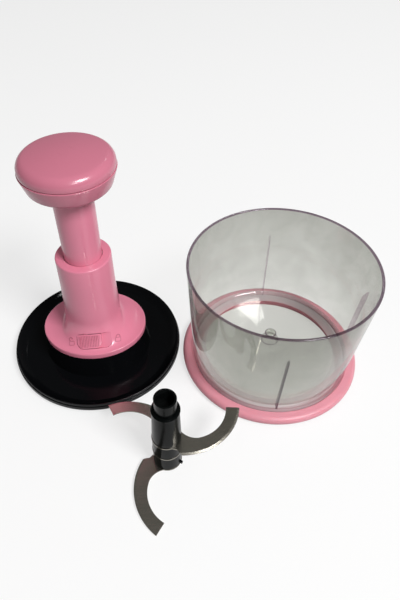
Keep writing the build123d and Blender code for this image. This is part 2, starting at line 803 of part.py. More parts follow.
tongue_w, tongue_l, tongue_t = tongue
tongue_centre = (tongue_x, tongue_tip_y - tongue_l / 2)
window_side, window_along, window_below, window_above = window_gap
with BuildPart() as tower_housing:
    add(housing_form(0))
    # the tower's bore, closed on top but for the tube's hole
    with BuildSketch(lid_plane(plateau_z)):
        Circle(tower_in_r)
    extrude(amount=tower_cap_z - plateau_z, mode=Mode.SUBTRACT)
    with BuildSketch(lid_plane(tower_cap_z - overlap)):
        Circle(tube_r + slide_gap + hole_gap)
    extrude(amount=tower_cap_t + 2 * overlap, mode=Mode.SUBTRACT)
    # hollow under the flange, around the tower and the screw bosses
    with BuildSketch(lid_plane(plateau_z)):
        with Locations((0, flange_y)):
            Ellipse(flange[0] - flange_wall, flange[1] - flange_wall)
        Circle(tower_foot_r, mode=Mode.SUBTRACT)
        with Locations(*housing_screw_at):
            Circle(screw_r + housing_boss_w, mode=Mode.SUBTRACT)
    extrude(amount=flange_h - flange_wall, mode=Mode.SUBTRACT)
    with BuildSketch(lid_plane(plateau_z)):
        with Locations(*housing_screw_at):
            Circle(screw_r)
    extrude(amount=housing_screw_l - plateau_wall + 2 * overlap, mode=Mode.SUBTRACT)
    # pocket of the lock's slot, its floor flat and square to the ramp
    with BuildSketch(slot_plane.offset(-slot_depth)):
        add(slot_outline(slot_w, slot_h))
    extrude(amount=slot_depth + slot_cut, mode=Mode.SUBTRACT)
    # window that lets the lock's tongue into the tower, as long as the lock's travel
    with BuildSketch(lid_plane(tongue_z - window_below)):
        with Locations((tongue_centre[0] + lock_travel / 2, tongue_centre[1])):
            Rectangle(tongue_w + lock_travel + 2 * window_side, tongue_l + window_along)
    extrude(amount=tongue_t + window_below + window_above, mode=Mode.SUBTRACT)
    # ribs that keep the nut from turning
    with BuildSketch(lid_plane(plateau_z)):
        with PolarLocations((tower_in_r + rib_in_r) / 2 + rib_sink, rib_count, start_angle=90):
            Rectangle(rib_h + 2 * rib_sink, rib_w)
    extrude(amount=bush_fit_z - plateau_z)
finish(tower_housing.part, "tower_housing")

finish(ring(lid_plane(bush_fit_z), tower_in_r, tube_r + slide_gap, guide_bush_l), "guide_bush")
housing_screws = screws(housing_screw_at, plateau_in_z - screw_head_t, screw_head_t + housing_screw_l)
finish(housing_screws, "housing_screws")

# ================================================================ lock
button_w = slot_w - lock_travel - 2 * slide_gap
button_h = slot_h - 2 * slide_gap
button_x = -(slot_w - button_w) / 2 + slide_gap
with BuildPart() as button_block:
    with BuildSketch(slot_plane.offset(-slot_depth + slide_gap)):
        with Locations((button_x, 0)):
            add(slot_outline(button_w, button_h))
    extrude(amount=slot_depth + slot_cut)
with BuildPart() as grip_ribs:
    with BuildSketch(slot_plane.offset(-slot_depth / 2)):
        with Locations((button_x, 0)):
            with GridLocations(grip_pitch, 1, grip_count, 1):
                Rectangle(grip_pitch / 2, button_h - 2 * grip_pitch)
    extrude(amount=slot_depth / 2 + slot_cut)
    add(housing_form(button_proud + grip_h), mode=Mode.INTERSECT)
with BuildPart() as lock_button:
    add(button_block.part)
    add(housing_form(button_proud), mode=Mode.INTERSECT)
    add(grip_ribs.part)
    with BuildSketch(lid_plane(tongue_z)):
        with Locations(tongue_centre):
            Rectangle(tongue_w, tongue_l)
    extrude(amount=tongue_t, mode=Mode.SUBTRACT)
finish(lock_button.part, "lock_button")

with BuildPart() as lock_tongue:
    with BuildSketch(lid_plane(tongue_z)):
        with Locations(tongue_centre):
            Rectangle(tongue_w, tongue_l)
    extrude(amount=tongue_t)
finish(lock_tongue.part, "lock_tongue")

# ================================================================ plunger
rib_notch = (2 * (nut_r - rib_in_r + slide_gap), rib_w + 2 * slide_gap)
lock_notch = (tongue_w + 2 * notch_gap, 2 * (nut_r + tongue_tip_y + overlap))
with BuildPart() as nut_body:
    with BuildSketch(lid_plane(nut_flange_z)):
        Circle(nut_r)
        with PolarLocations(nut_r, rib_count, start_angle=90):
            Rectangle(*rib_notch, mode=Mode.SUBTRACT)
        with Locations((tongue_x, -nut_r)):
            Rectangle(*lock_notch, mode=Mode.SUBTRACT)
    extrude(amount=nut_flange_t)
    with BuildSketch(lid_plane(nut_flange_z)):
        Circle(tube_r - tube_wall)
    extrude(amount=nut_bore_depth + nut_web_t)
    with BuildSketch(lid_plane(nut_flange_z)):
        Circle(tube_r - tube_wall - nut_wall)
    extrude(amount=nut_bore_depth, mode=Mode.SUBTRACT)
nut_hole_side = spindle_side + 2 * nut_hole_gap
with BuildSketch(lid_plane(nut_web_z)) as hole_section:
    Rectangle(nut_hole_side, nut_hole_side, rotation=360 * nut_web_z / spindle_lead)
nut_hole = Solid.extrude_linear_with_rotation(
    hole_section.sketch.faces()[0],
    (lid_x, lid_y, nut_web_z),
    (0, 0, nut_web_t),
    360 * nut_web_t / spindle_lead,
)
with BuildPart() as plunger_nut:
    add(nut_body.part)
    add(nut_hole, mode=Mode.SUBTRACT)
finish(plunger_nut.part, "plunger_nut")

with BuildPart() as plunger_tube:
    with BuildSketch(lid_plane(tube_z)):
        Circle(tube_r)
        Circle(tube_r - tube_wall, mode=Mode.SUBTRACT)
    extrude(amount=tube_top_z - tube_z)
    with BuildSketch(lid_plane(tube_top_z - tube_top_t)):
        Circle(tube_r)
        with Locations(*tube_screw_at):
            Circle(screw_r, mode=Mode.SUBTRACT)
    extrude(amount=tube_top_t)
finish(plunger_tube.part, "plunger_tube")

cup_round_r, cup_round_w, cup_round_h = cup_foot_round
cup_round_in = (cup_foot_r + cup_foot_lip - cup_round_w, cup_z)
cup_round_out = (cup_foot_r + cup_foot_lip, cup_z + cup_round_h)
cup_collar_r = tube_r + cup_collar_w
collar_top = tube_top_z + cup_collar_h
with BuildPart() as knob_cup:
    with BuildSketch(side_plane(lid_x, lid_y)):
        with BuildLine():
            Polyline((tube_r, cup_z), cup_round_in)
            RadiusArc(cup_round_in, cup_round_out, -cup_round_r)
            Polyline(
                cup_round_out,
                (cup_rim_r, cup_rim_z - edge_break),
                (cup_rim_r - edge_break, cup_rim_z),
                (cup_rim_r - knob_wall, cup_rim_z),
                (cup_foot_r - cap_step, cup_z + knob_wall),
                (cup_collar_r, cup_z + knob_wall),
                (cup_collar_r, collar_top),
                (tube_r, collar_top),
                (tube_r, cup_z),
            )
        make_face()
    revolve(axis=Axis((lid_x, lid_y, 0), (0, 0, 1)))
finish(knob_cup.part, "knob_cup")

cap_in_r = cap_r - knob_wall
dome_edge = (cap_r - cap_round_w, cap_shoulder_z + cap_round_h)
dome_rise = cap_top_z - dome_edge[1]
dome_r = (dome_edge[0] ** 2 + dome_rise**2) / (2 * dome_rise)


def dome_z(r):
    """Height of the cap's shallow dome at a radius."""
    return cap_top_z - dome_r + sqrt(dome_r**2 - r**2)


dome_mid = (dome_edge[0] / 2, dome_z(dome_edge[0] / 2))
with BuildPart() as knob_cap:
    with BuildSketch(side_plane(lid_x, lid_y)):
        with BuildLine():
            Polyline(
                (cap_in_r, cap_z),
                (cap_r - edge_break, cap_z),
                (cap_r, cap_z + edge_break),
                (cap_r, cap_shoulder_z),
            )
            ThreePointArc(
                (cap_r, cap_shoulder_z),
                (cap_r - cap_round_w * (1 - cos(pi / 4)), cap_shoulder_z + cap_round_h * sin(pi / 4)),
                dome_edge,
            )
            ThreePointArc(dome_edge, dome_mid, (0, cap_top_z))
            Line((0, cap_top_z), (0, cap_top_z - knob_wall))
            ThreePointArc(
                (0, cap_top_z - knob_wall),
                (dome_mid[0], dome_mid[1] - knob_wall),
                (dome_edge[0], dome_edge[1] - knob_wall),
            )
            Polyline((dome_edge[0], dome_edge[1] - knob_wall), (cap_in_r, cap_shoulder_z), (cap_in_r, cap_z))
        make_face()
    revolve(axis=Axis((lid_x, lid_y, 0), (0, 0, 1)))
    # spigot that locates the cap inside the cup, rib that holds down the cup's collar, screw bosses
    with BuildSketch(lid_plane(cap_z - spigot_drop)):
        Circle(cap_in_r - edge_break)
        Circle(cap_in_r - edge_break - spigot_wall, mode=Mode.SUBTRACT)
    extrude(amount=cap_shoulder_z + knob_wall - cap_z + spigot_drop + edge_break)
    with BuildSketch(lid_plane(collar_top)):
        Circle(cup_collar_r)
        Circle(tube_r + collar_rib_gap, mode=Mode.SUBTRACT)
    extrude(amount=dome_z(cup_collar_r) - knob_wall / 2 - collar_top)
    with BuildSketch(lid_plane(tube_top_z)):
        with Locations(*tube_screw_at):
            Circle(boss_r)
    extrude(amount=dome_z(tube_r - tube_screw_in + boss_r) - knob_wall / 2 - tube_top_z)
    with BuildSketch(lid_plane(tube_top_z)):
        with Locations(*tube_screw_at):
            Circle(screw_r)
    extrude(amount=boss_bore_l, mode=Mode.SUBTRACT)
finish(knob_cap.part, "knob_cap")
knob_screws = screws(tube_screw_at, tube_top_z - tube_top_t - screw_head_t, screw_head_t + knob_screw_l)
finish(knob_screws, "knob_screws")

# ================================================================ drive inside the lid
planet_at = [
    (planet_axis_r * cos(2 * pi * i / planet_count), planet_axis_r * sin(2 * pi * i / planet_count))
    for i in range(planet_count)
]
tail_r = spindle_side / 2 - spindle_tail_gap
tail_z = disc_z + stub_bore_depth + stub_bore_floor
ring_gear = gear_outline(
    ring_teeth,
    ring_pitch_r - ring_addendum * gear_module,
    ring_pitch_r + ring_dedendum * gear_module,
    -gear_slack,
)
with BuildPart() as drive_drum:
    with BuildSketch(lid_plane(gear_z)):
        Circle(drum_r)
        make_face(ring_gear.edges(), mode=Mode.SUBTRACT)
    extrude(amount=disc_z - gear_z)
    with BuildSketch(lid_plane(disc_z)):
        Circle(drum_r)
    extrude(amount=drum_disc_t)
    with BuildSketch(lid_plane(disc_z)):
        Circle(drum_hub_r)
    extrude(amount=drum_hub_top_z - disc_z)
    with BuildSketch(lid_plane(disc_z)):
        Circle(stub_r + running_gap)
    extrude(amount=stub_bore_depth, mode=Mode.SUBTRACT)
    with BuildSketch(lid_plane(tail_z)):
        Circle(tail_r)
    extrude(amount=drum_hub_top_z - tail_z + overlap, mode=Mode.SUBTRACT)
finish(drive_drum.part, "drive_drum")

with BuildSketch(lid_plane(drum_hub_top_z)) as spindle_section:
    Rectangle(spindle_side, spindle_side, rotation=360 * drum_hub_top_z / spindle_lead)
spindle_length = spindle_top_z - drum_hub_top_z
twisted_bar = Solid.extrude_linear_with_rotation(
    spindle_section.sketch.faces()[0],
    (lid_x, lid_y, drum_hub_top_z),
    (0, 0, spindle_length),
    360 * spindle_length / spindle_lead,
)
with BuildPart() as spindle:
    add(twisted_bar)
    with BuildSketch(lid_plane(tail_z)):
        Circle(tail_r)
    extrude(amount=drum_hub_top_z - tail_z)
finish(spindle.part, "twisted_spindle")

for i, (px, py) in enumerate(planet_at):
    with BuildPart() as planet_gear:
        with BuildSketch(Plane((lid_x + px, lid_y + py, gear_z), x_dir=(px, py, 0), z_dir=(0, 0, 1))):
            make_face(outer_gear(planet_teeth, planet_pitch_r).edges())
            Circle(pin_r + running_gap, mode=Mode.SUBTRACT)
        extrude(amount=gear_t)
    finish(planet_gear.part, f"planet_gear_{i + 1}")

pin_z = cover_z + edge_break
with BuildPart() as planet_pins:
    with BuildSketch(lid_plane(pin_z)):
        with Locations(*planet_at):
            Circle(pin_r)
    extrude(amount=disc_z - drum_disc_gap / 2 - pin_z)
finish(planet_pins.part, "planet_pins")

boss_top_z = gear_z - collar_drop + output_bush_proud
bush_seat_z = boss_top_z - output_bush_l
with BuildPart() as gearbox_cover:
    with BuildSketch(lid_plane(cover_z)):
        Circle(cover_r)
    extrude(amount=cover_t)
    with BuildSketch(lid_plane(cover_z)):
        Circle(socket_r + collar_wall)
        with Locations(*planet_at):
            Circle(pin_r + boss_wall)
    extrude(amount=boss_top_z - cover_z)
    with BuildSketch(lid_plane(cover_z)):
        Circle(socket_r)
    extrude(amount=boss_top_z + overlap - cover_z, mode=Mode.SUBTRACT)
    with BuildSketch(lid_plane(pin_z)):
        with Locations(*planet_at):
            Circle(pin_r)
    extrude(amount=boss_top_z + overlap - pin_z, mode=Mode.SUBTRACT)
    with BuildSketch(lid_plane(cover_z)):
        with Locations(*cover_screw_at):
            Circle(screw_r)
    extrude(amount=cover_t, mode=Mode.SUBTRACT)
    with BuildSketch(lid_plane(cover_z)):
        with Locations(*cover_screw_at):
            Circle(screw_head_r)
    extrude(amount=screw_head_t, mode=Mode.SUBTRACT)
finish(gearbox_cover.part, "gearbox_cover")
finish(screws(cover_screw_at, cover_z, cover_screw_l), "cover_screws")

finish(ring(lid_plane(bush_seat_z), socket_r, journal_r + running_gap, output_bush_l), "output_bush")

journal_z = gear_z - journal_l
with BuildPart() as output_shaft:
    with BuildSketch(lid_plane(spigot_z)):
        Circle(spigot_r)
        with Locations((0, spigot_r + nose_flat - flat_gap)):
            Rectangle(2 * spigot_r, 2 * spigot_r, mode=Mode.SUBTRACT)
    extrude(amount=journal_z - spigot_z)
    with BuildSketch(lid_plane(journal_z)):
        Circle(journal_r)
    extrude(amount=journal_l)
    with BuildSketch(lid_plane(gear_z)):
        make_face(outer_gear(sun_teeth, sun_pitch_r).edges())
    extrude(amount=gear_t)
    with BuildSketch(lid_plane(gear_z + gear_t)):
        Circle(stub_r)
    extrude(amount=stub_l)
finish(output_shaft.part, "output_shaft")

drum_bush_z = disc_z + drum_disc_t + drum_bush_drop
finish(
    turned(
        lid_x,
        lid_y,
        [
            (drum_hub_r + running_gap, drum_bush_z),
            (drum_bush_r + drum_bush_flange, drum_bush_z),
            (drum_bush_r + drum_bush_flange, plateau_in_z),
            (drum_bush_r, plateau_in_z),
            (drum_bush_r, plateau_z + drum_bush_proud),
            (drum_hub_r + running_gap, plateau_z + drum_bush_proud),
        ],
    ),
    "drum_bush",
)
finish(ring(lid_plane(plateau_z), spring_r + seat_w, drum_bush_r + hole_gap, seat_t), "spring_seat")

spring_foot_z = plateau_z + seat_t
coil_height = nut_web_z - spring_foot_z - spring_wire
with BuildPart() as return_spring:
    with BuildLine(lid_plane(spring_foot_z + spring_wire / 2)):
        coil = Helix(pitch=coil_height / spring_turns, height=coil_height, radius=spring_r)
    with BuildSketch(Plane(coil @ 0, z_dir=coil % 0)):
        Circle(spring_wire / 2)
    sweep()
finish(return_spring.part, "return_spring")
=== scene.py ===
# %% [markdown]
# A push chopper, taken apart on a table: a pink plunger on a black lid, the blade carrier
# with its three sickle blades, and a clear bowl in a soft pink ring. Pressing the knob
# drives a nut down a twisted spindle, and gears in the lid turn that into a fast spin for
# the blades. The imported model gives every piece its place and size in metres. This lesson
# gives the pieces their finishes, rebuilds the ones whose edges and curves carry the
# look, and lights them.

# %% Load the fixed frame
import math

import bmesh
import bpy
from mathutils import Matrix, Vector
from mathutils.bvhtree import BVHTree


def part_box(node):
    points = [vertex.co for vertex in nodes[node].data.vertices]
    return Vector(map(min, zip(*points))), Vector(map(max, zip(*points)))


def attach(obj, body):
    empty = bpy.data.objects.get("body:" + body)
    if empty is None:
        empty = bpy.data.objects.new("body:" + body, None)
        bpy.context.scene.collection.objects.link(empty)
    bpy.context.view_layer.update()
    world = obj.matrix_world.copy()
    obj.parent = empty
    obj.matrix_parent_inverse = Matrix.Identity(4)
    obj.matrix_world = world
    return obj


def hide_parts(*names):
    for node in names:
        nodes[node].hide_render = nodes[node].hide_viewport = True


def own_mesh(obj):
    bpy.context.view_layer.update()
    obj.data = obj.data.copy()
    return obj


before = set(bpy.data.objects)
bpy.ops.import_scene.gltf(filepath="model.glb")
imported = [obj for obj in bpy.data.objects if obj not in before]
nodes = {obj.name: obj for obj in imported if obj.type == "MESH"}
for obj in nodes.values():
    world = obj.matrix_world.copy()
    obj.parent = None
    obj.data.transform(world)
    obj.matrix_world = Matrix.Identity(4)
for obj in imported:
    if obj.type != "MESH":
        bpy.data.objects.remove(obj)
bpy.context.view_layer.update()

# %% [markdown]
# The camera looks down at the table from about 46 degrees, leaning a little to one side.
# It could be turned by three mixed rotations or by a constraint that tracks a point. Its
# matrix is written from the two angles instead, because the look down and the lean can
# then be read and changed one at a time. A small shift moves the picture's centre without
# turning the camera, so that upright edges keep their slant.

# %% Camera
PITCH = 0.807
ROLL = -0.035
CAMERA_AT = (-0.01546, -0.27126, 0.39585)
FOCAL_LENGTH = 30.72
PICTURE_SHIFT = (0.0573, 0.0031)
forward = Vector((0, math.cos(PITCH), -math.sin(PITCH)))
level_up = Vector((0, math.sin(PITCH), math.cos(PITCH)))
level_right = Vector((1, 0, 0))
right = level_right * math.cos(ROLL) + level_up * math.sin(ROLL)
up = level_up * math.cos(ROLL) - level_right * math.sin(ROLL)
lens = bpy.data.cameras.new("camera")
lens.lens = FOCAL_LENGTH
lens.shift_x, lens.shift_y = PICTURE_SHIFT
camera = bpy.data.objects.new("camera", lens)
turned = Matrix((right, up, -forward)).transposed().to_4x4()
camera.matrix_world = Matrix.Translation(CAMERA_AT) @ turned
bpy.context.scene.collection.objects.link(camera)
bpy.context.scene.camera = camera
print("camera at", tuple(round(c, 3) for c in camera.matrix_world.translation))

# %% [markdown]
# Colours are written as the hex values that a designer would use. Shaders work in linear
# light, in which a mid grey is a much smaller number, so one function converts them.
# Sizes are thought of in millimetres, and one factor turns them into the scene's metres.

# %% Colour and size
MM = 0.001


def linear(hex_colour):
    """A hex colour such as "e0889f" as linear red, green, blue and alpha."""
    channels = [int(hex_colour[i : i + 2], 16) / 255 for i in (0, 2, 4)]
    return [c / 12.92 if c <= 0.04045 else ((c + 0.055) / 1.055) ** 2.4 for c in channels] + [1.0]


print("mid grey in linear light", round(linear("808080")[0], 3))

# %% [markdown]
# A material is a small graph of nodes. It could be wired by hand in the shader editor, but
# written out it can be repeated and checked. One function adds a node, sets its inputs, and
# links any socket it is given. The other starts a material with one shader and the Object
# coordinates, in which a pattern stays where it is on a piece that moves.

# %% Nodes and materials
def add_node(tree, kind, inputs=None, **settings):
    """Adds a node, applies its settings, and sets or links its inputs by name or number."""
    node = tree.nodes.new(kind)
    for name, value in settings.items():
        setattr(node, name, value)
    for key, value in (inputs or {}).items():
        if isinstance(value, bpy.types.NodeSocket):
            tree.links.new(value, node.inputs[key])
        else:
            node.inputs[key].default_value = value
    return node


def new_material(name, **inputs):
    """A material with one Principled shader, and its tree, shader and Object coordinates."""
    material = bpy.data.materials.new(name)
    material.use_nodes = True
    tree = material.node_tree
    shader = tree.nodes["Principled BSDF"]
    for key, value in inputs.items():
        shader.inputs[key.replace("_", " ")].default_value = value
    place = tree.nodes.new("ShaderNodeTexCoord").outputs["Object"]
    return material, tree, shader, place


print("shader nodes of Blender", bpy.app.version_string)

# %% [markdown]
# The table is one large pale plane. White paint under strong lamps would do it, but then
# the lamps would burn out the pink as well. So it takes shadow as matt grey paper does,
# and for what the camera, a mirror or clear plastic sees of it, it gets a little light of
# its own. It looks near white and still holds the soft shadows of the pieces.

# %% Floor
FLOOR_SIZE = 4.0
FLOOR_PAINT = linear("969696")
FLOOR_LIFT = 0.65
floor_mesh = bpy.data.meshes.new("floor")
grid = bmesh.new()
bmesh.ops.create_grid(grid, x_segments=8, y_segments=8, size=FLOOR_SIZE)
grid.to_mesh(floor_mesh)
grid.free()
floor = bpy.data.objects.new("floor", floor_mesh)
bpy.context.scene.collection.objects.link(floor)

paper, tree, shader, place = new_material("matt paper table", Base_Color=FLOOR_PAINT, Roughness=0.9)
rays = add_node(tree, "ShaderNodeLightPath").outputs
seen = add_node(
    tree, "ShaderNodeMath", {0: rays["Is Camera Ray"], 1: rays["Is Glossy Ray"]}, operation="MAXIMUM"
)
seen = add_node(
    tree, "ShaderNodeMath", {0: seen.outputs[0], 1: rays["Is Transmission Ray"]}, operation="MAXIMUM"
)
lift = add_node(tree, "ShaderNodeMath", {0: seen.outputs[0], 1: FLOOR_LIFT}, operation="MULTIPLY")
shader.inputs["Emission Color"].default_value = (1, 1, 1, 1)
tree.links.new(lift.outputs[0], shader.inputs["Emission Strength"])
floor_mesh.materials.append(paper)
print("floor", 2 * FLOOR_SIZE, "m wide, lifted by", FLOOR_LIFT)

# %% [markdown]
# The world stands for the room. One flat colour would light everything alike and fill the
# black lid and the steel with grey. It is therefore split by who looks: the camera sees a
# pale wall, the pieces get a weak even fill, and a polished face sees a dim room that is
# darkest overhead, which is what gives black plastic and steel their depth.

# %% World
HORIZON, OVERHEAD = (0.04, "787877"), (0.50, "5c5c5b")
FILL = 0.31
world = bpy.data.worlds.new("studio")
bpy.context.scene.world = world
world.use_nodes = True
tree = world.node_tree
tree.nodes.clear()
rays = add_node(tree, "ShaderNodeLightPath").outputs
direction = add_node(tree, "ShaderNodeTexCoord").outputs["Generated"]
height = add_node(tree, "ShaderNodeSeparateXYZ", {0: direction}).outputs["Z"]
ceiling = add_node(tree, "ShaderNodeValToRGB", {0: height})
for stop, (position, grey) in zip(ceiling.color_ramp.elements, (HORIZON, OVERHEAD)):
    stop.position = position
    stop.color = linear(grey)
mirrored = add_node(tree, "ShaderNodeBackground", {"Color": ceiling.outputs["Color"], "Strength": 1.0})
fill = add_node(tree, "ShaderNodeBackground", {"Color": linear("f7f7f6"), "Strength": FILL})
backdrop = add_node(tree, "ShaderNodeBackground", {"Color": linear("f7f7f7"), "Strength": 1.0})
reflection = add_node(
    tree, "ShaderNodeMixShader", {0: rays["Is Glossy Ray"], 1: fill.outputs[0], 2: mirrored.outputs[0]}
)
seen = add_node(
    tree, "ShaderNodeMath", {0: rays["Is Camera Ray"], 1: rays["Is Transmission Ray"]}, operation="MAXIMUM"
)
everything = add_node(
    tree, "ShaderNodeMixShader", {0: seen.outputs[0], 1: reflection.outputs[0], 2: backdrop.outputs[0]}
)
add_node(tree, "ShaderNodeOutputWorld", {"Surface": everything.outputs[0]})
print("world with", len(tree.nodes), "nodes and a fill of", FILL)

# %% [markdown]
# One large soft lamp at the front right models the round shapes. A small one below it is
# only seen as a reflection, like a window pane: it sharpens the highlight on the knob and
# puts sparks in the clear bowl, and gives no light of its own. A third one far behind does
# the same for the bowl's flat floor, which would look empty without it. A sun or a bare
# point would give hard shadows and pinprick highlights, which this plastic doesn't show.

# %% Lamps
LAMPS = (
    ("key_lamp", (1.32, -1.41, 2.36), (0, 0, 0.06), 1.10, 0.85, 84.0),
    ("window_pane", (0.54, -1.47, 1.35), (-0.05, 0.04, 0.1), 0.18, 0.12, 6.0),
    ("rear_window", (0.335, 1.18, 1.155), (0.073, 0.09, 0.012), 0.085, 0.13, 0.45),
)
for name, position, target, width, depth, watts in LAMPS:
    lamp = bpy.data.lights.new(name, "AREA")
    lamp.shape = "RECTANGLE"
    lamp.size, lamp.size_y = width, depth
    lamp.energy = watts
    softbox = bpy.data.objects.new(name, lamp)
    softbox.location = position
    aim = Vector(target) - Vector(position)
    softbox.rotation_euler = aim.to_track_quat("-Z", "Y").to_euler()
    softbox.visible_diffuse = name == "key_lamp"
    bpy.context.scene.collection.objects.link(softbox)
    print(name, watts, "W, lights the pieces:", softbox.visible_diffuse)
bpy.context.scene.view_settings.view_transform = "Standard"

# %% [markdown]
# The plunger, the tower and the lock are glossy pink ABS, injection moulded and not
# painted. The mould leaves a hard even gloss, a little duller where hands have been, and
# the pigment is a touch uneven over centimetres. A clear highlight with soft edges tells
# the eye that this is smooth, dense plastic. A plain colour would look like paint, so two
# close tints drift over the surface. The knob gets its own copy of the pink, a shade
# darker, which is painted shade on the knob.

# %% Pink ABS
PINK = ("df839b", "e1869e")


def per_mm(size):
    """The scale that makes one cell of a pattern this many millimetres wide."""
    return 1 / (size * MM)


def pink_plastic(name, dark, light):
    """Glossy pink ABS between two close tints."""
    material, tree, shader, place = new_material(name, IOR=1.50)
    cloud = add_node(tree, "ShaderNodeTexNoise", {"Vector": place, "Scale": per_mm(60), "Detail": 1.0})
    tint = add_node(
        tree, "ShaderNodeMix", {0: cloud.outputs[0], 6: linear(dark), 7: linear(light)}, data_type="RGBA"
    )
    tree.links.new(tint.outputs[2], shader.inputs["Base Color"])
    handled = add_node(tree, "ShaderNodeTexNoise", {"Vector": place, "Scale": per_mm(50), "Detail": 2.0})
    gloss = add_node(tree, "ShaderNodeMapRange", {0: handled.outputs[0], 1: 0.3, 2: 0.7, 3: 0.20, 4: 0.23})
    tree.links.new(gloss.outputs[0], shader.inputs["Roughness"])
    return material, tree, shader, place


def paint(material, *names):
    """Gives a material to CAD nodes."""
    for name in names:
        for place in nodes[name].material_slots:
            place.material = material
    print(material.name, "on", len(names), "nodes")


# The clean moulding of tower, tube and lock, whose even gloss shows their curves.
pink_abs = pink_plastic("pink moulded ABS", *PINK)[0]
# The same pink, painted a shade darker for the knob as painted shade, which sets it off from the tube.
knob_abs_painted_shade = pink_plastic("pink moulded ABS, painted darker for the knob", "cb778c", "cd7a8f")[0]
paint(pink_abs, "tower_housing", "lock_tongue", "plunger_tube")
paint(knob_abs_painted_shade, "knob_cup", "knob_cap")

# %% [markdown]
# Round pieces are turned, as on a lathe. Half a section is drawn as corners with a radius,
# a height and a rounding in millimetres, and spun about an upright axis. The corners are
# rounded after the spin, edge ring by edge ring, because a bevel keeps the tangents that a
# highlight needs, and arcs drawn by hand in the section would not.

# %% Turning
TURN_STEPS = 180


def reach_from(axis, point):
    """Distance of a point from an upright axis."""
    return math.hypot(point.x - axis.x, point.y - axis.y)


def on_circle(vert, axis, r, z):
    """Whether a vertex lies on a circle about an axis, at a radius and height in mm."""
    return abs(reach_from(axis, vert.co) - r * MM) < 1e-6 and abs(vert.co.z - z * MM) < 1e-6


def round_off(bm, geom, radius, segments, affect="EDGES"):
    """Rounds edges or corners to a radius in mm."""
    bmesh.ops.bevel(
        bm, geom=geom, offset=radius * MM, offset_type="OFFSET", affect=affect, segments=segments,
        profile=0.5, material=-1,
    )


def turn(axis, corners, steps=TURN_STEPS):
    """Spins a closed outline of (radius, height, rounding) corners in mm, and rounds its corners."""
    bm = bmesh.new()
    points = [bm.verts.new((axis.x + r * MM, axis.y, z * MM)) for r, z, rounding in corners]
    for start, end in zip(points, points[1:] + points[:1]):
        if start.co.x > axis.x + MM or end.co.x > axis.x + MM:
            bm.edges.new((start, end))
    bmesh.ops.spin(
        bm, geom=bm.verts[:] + bm.edges[:], cent=(axis.x, axis.y, 0), axis=(0, 0, 1), dvec=(0, 0, 0),
        angle=2 * math.pi, steps=steps, use_merge=True, use_duplicate=False,
    )
    bmesh.ops.remove_doubles(bm, verts=bm.verts, dist=0.002 * MM)
    for r, z, rounding in corners:
        if rounding:
            circle = [e for e in bm.edges if all(on_circle(v, axis, r, z) for v in e.verts)]
            round_off(bm, circle, rounding, 3 + int(rounding * 2))
    return bm


print("one step of a turn is", 360 / TURN_STEPS, "degrees")

# %% [markdown]
# Every new piece is finished in the same way. Doubled points are merged first and the faces
# turned outwards after that, because a spin can leave them inside out. Shading is soft
# except over sharp edges. Then the piece gets its name, its material, the body that it
# moves with, and the pieces of the frame that it stands for.

# %% Finishing a piece
def settle(name, bm, materials, body, slot, *stands_for, sharp=40):
    """Makes a piece from a bmesh, smooth but for edges sharper than an angle."""
    bmesh.ops.remove_doubles(bm, verts=bm.verts, dist=0.002 * MM)
    bmesh.ops.recalc_face_normals(bm, faces=bm.faces)
    for face in bm.faces:
        face.smooth = True
    for edge in bm.edges:
        edge.smooth = edge.is_manifold and edge.calc_face_angle(0) < math.radians(sharp)
    mesh = bpy.data.meshes.new(name)
    bm.to_mesh(mesh)
    bm.free()
    for material in materials:
        mesh.materials.append(material)
    piece = bpy.data.objects.new(name, mesh)
    bpy.context.scene.collection.objects.link(piece)
    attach(piece, body)
    if stands_for:
        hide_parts(*stands_for)
    print(name, len(mesh.polygons), "faces")
    return piece


def middle(node):
    """Centre of a frame piece's box."""
    low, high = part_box(node)
    return (low + high) / 2


lid_axis = middle("plunger_tube")
bowl_axis = middle("base_ring")
for name, axis in (("lid", lid_axis), ("bowl", bowl_axis)):
    print(name, "axis at", tuple(round(c, 4) for c in axis[:2]))

# %% [markdown]
# The knob is two moulded shells with a fine seam between them: a cup that flares from the
# plunger, and a cap whose wide soft shoulder runs into a shallow dome, as a palm likes it.
# A squashed sphere would be quicker, but its curve would tighten at the wrong place, and
# the highlight on the shoulder is what shows this knob's shape.

# %% Knob
KNOB_STEPS = 192
cap = turn(
    lid_axis,
    (
        (0, 213.0, 0), (10, 212.66, 0), (20, 211.6, 0), (27, 210.6, 0), (36.0, 208.9, 6.2),
        (36.0, 200.3, 0.5), (33.6, 200.3, 0), (33.6, 204, 0), (0, 208, 0),
    ),
    steps=KNOB_STEPS,
)
settle("cap_shell", cap, (knob_abs_painted_shade,), "plunger", "pink_plastic", "knob_cap")
cup = turn(
    lid_axis,
    (
        (16.0, 185.0, 0), (31.9, 185.0, 3.2), (36.6, 199.9, 0.6), (33.4, 199.9, 0.3),
        (30.0, 187.6, 1.5), (18.2, 187.6, 0), (18.2, 197.0, 0), (16.0, 197.0, 0),
    ),
    steps=KNOB_STEPS,
)
settle("cup_shell", cup, (knob_abs_painted_shade,), "plunger", "pink_plastic", "knob_cup")

# %% [markdown]
# The housing is one moulding: a round tower on an oval flange, with a hollow curve at its
# foot and a ramp that grows out of its front. Separate solids joined by a Boolean would
# leave a hard line at each join. So the shape is written as a reach from the tower's axis
# for every direction and height. Where two shapes meet, the larger reach wins and is
# rounded off, which blends them without a line.

# %% Curves of the housing, in mm
TOWER_FOOT, TOWER_TOP, TAPER_FROM, TOWER_END = 24.3, 23.6, 48, 117.5
HOLLOW_CENTRE, HOLLOW_RADIUS, HOLLOW_TOP = 36.3, 12, 48.1
RAMP_HEIGHTS = (33, 42, 57)
RAMP_HALF_X, RAMP_HALF_Y, RAMP_CENTRE_Y = (30.0, 26.0, 24.0), (25.2, 22.3, 23.8), (-15, -8.5, 0)
RAMP_LEAN, HOLLOW_BLEND, RAMP_BLEND = 0.12, 1.0, 5.0


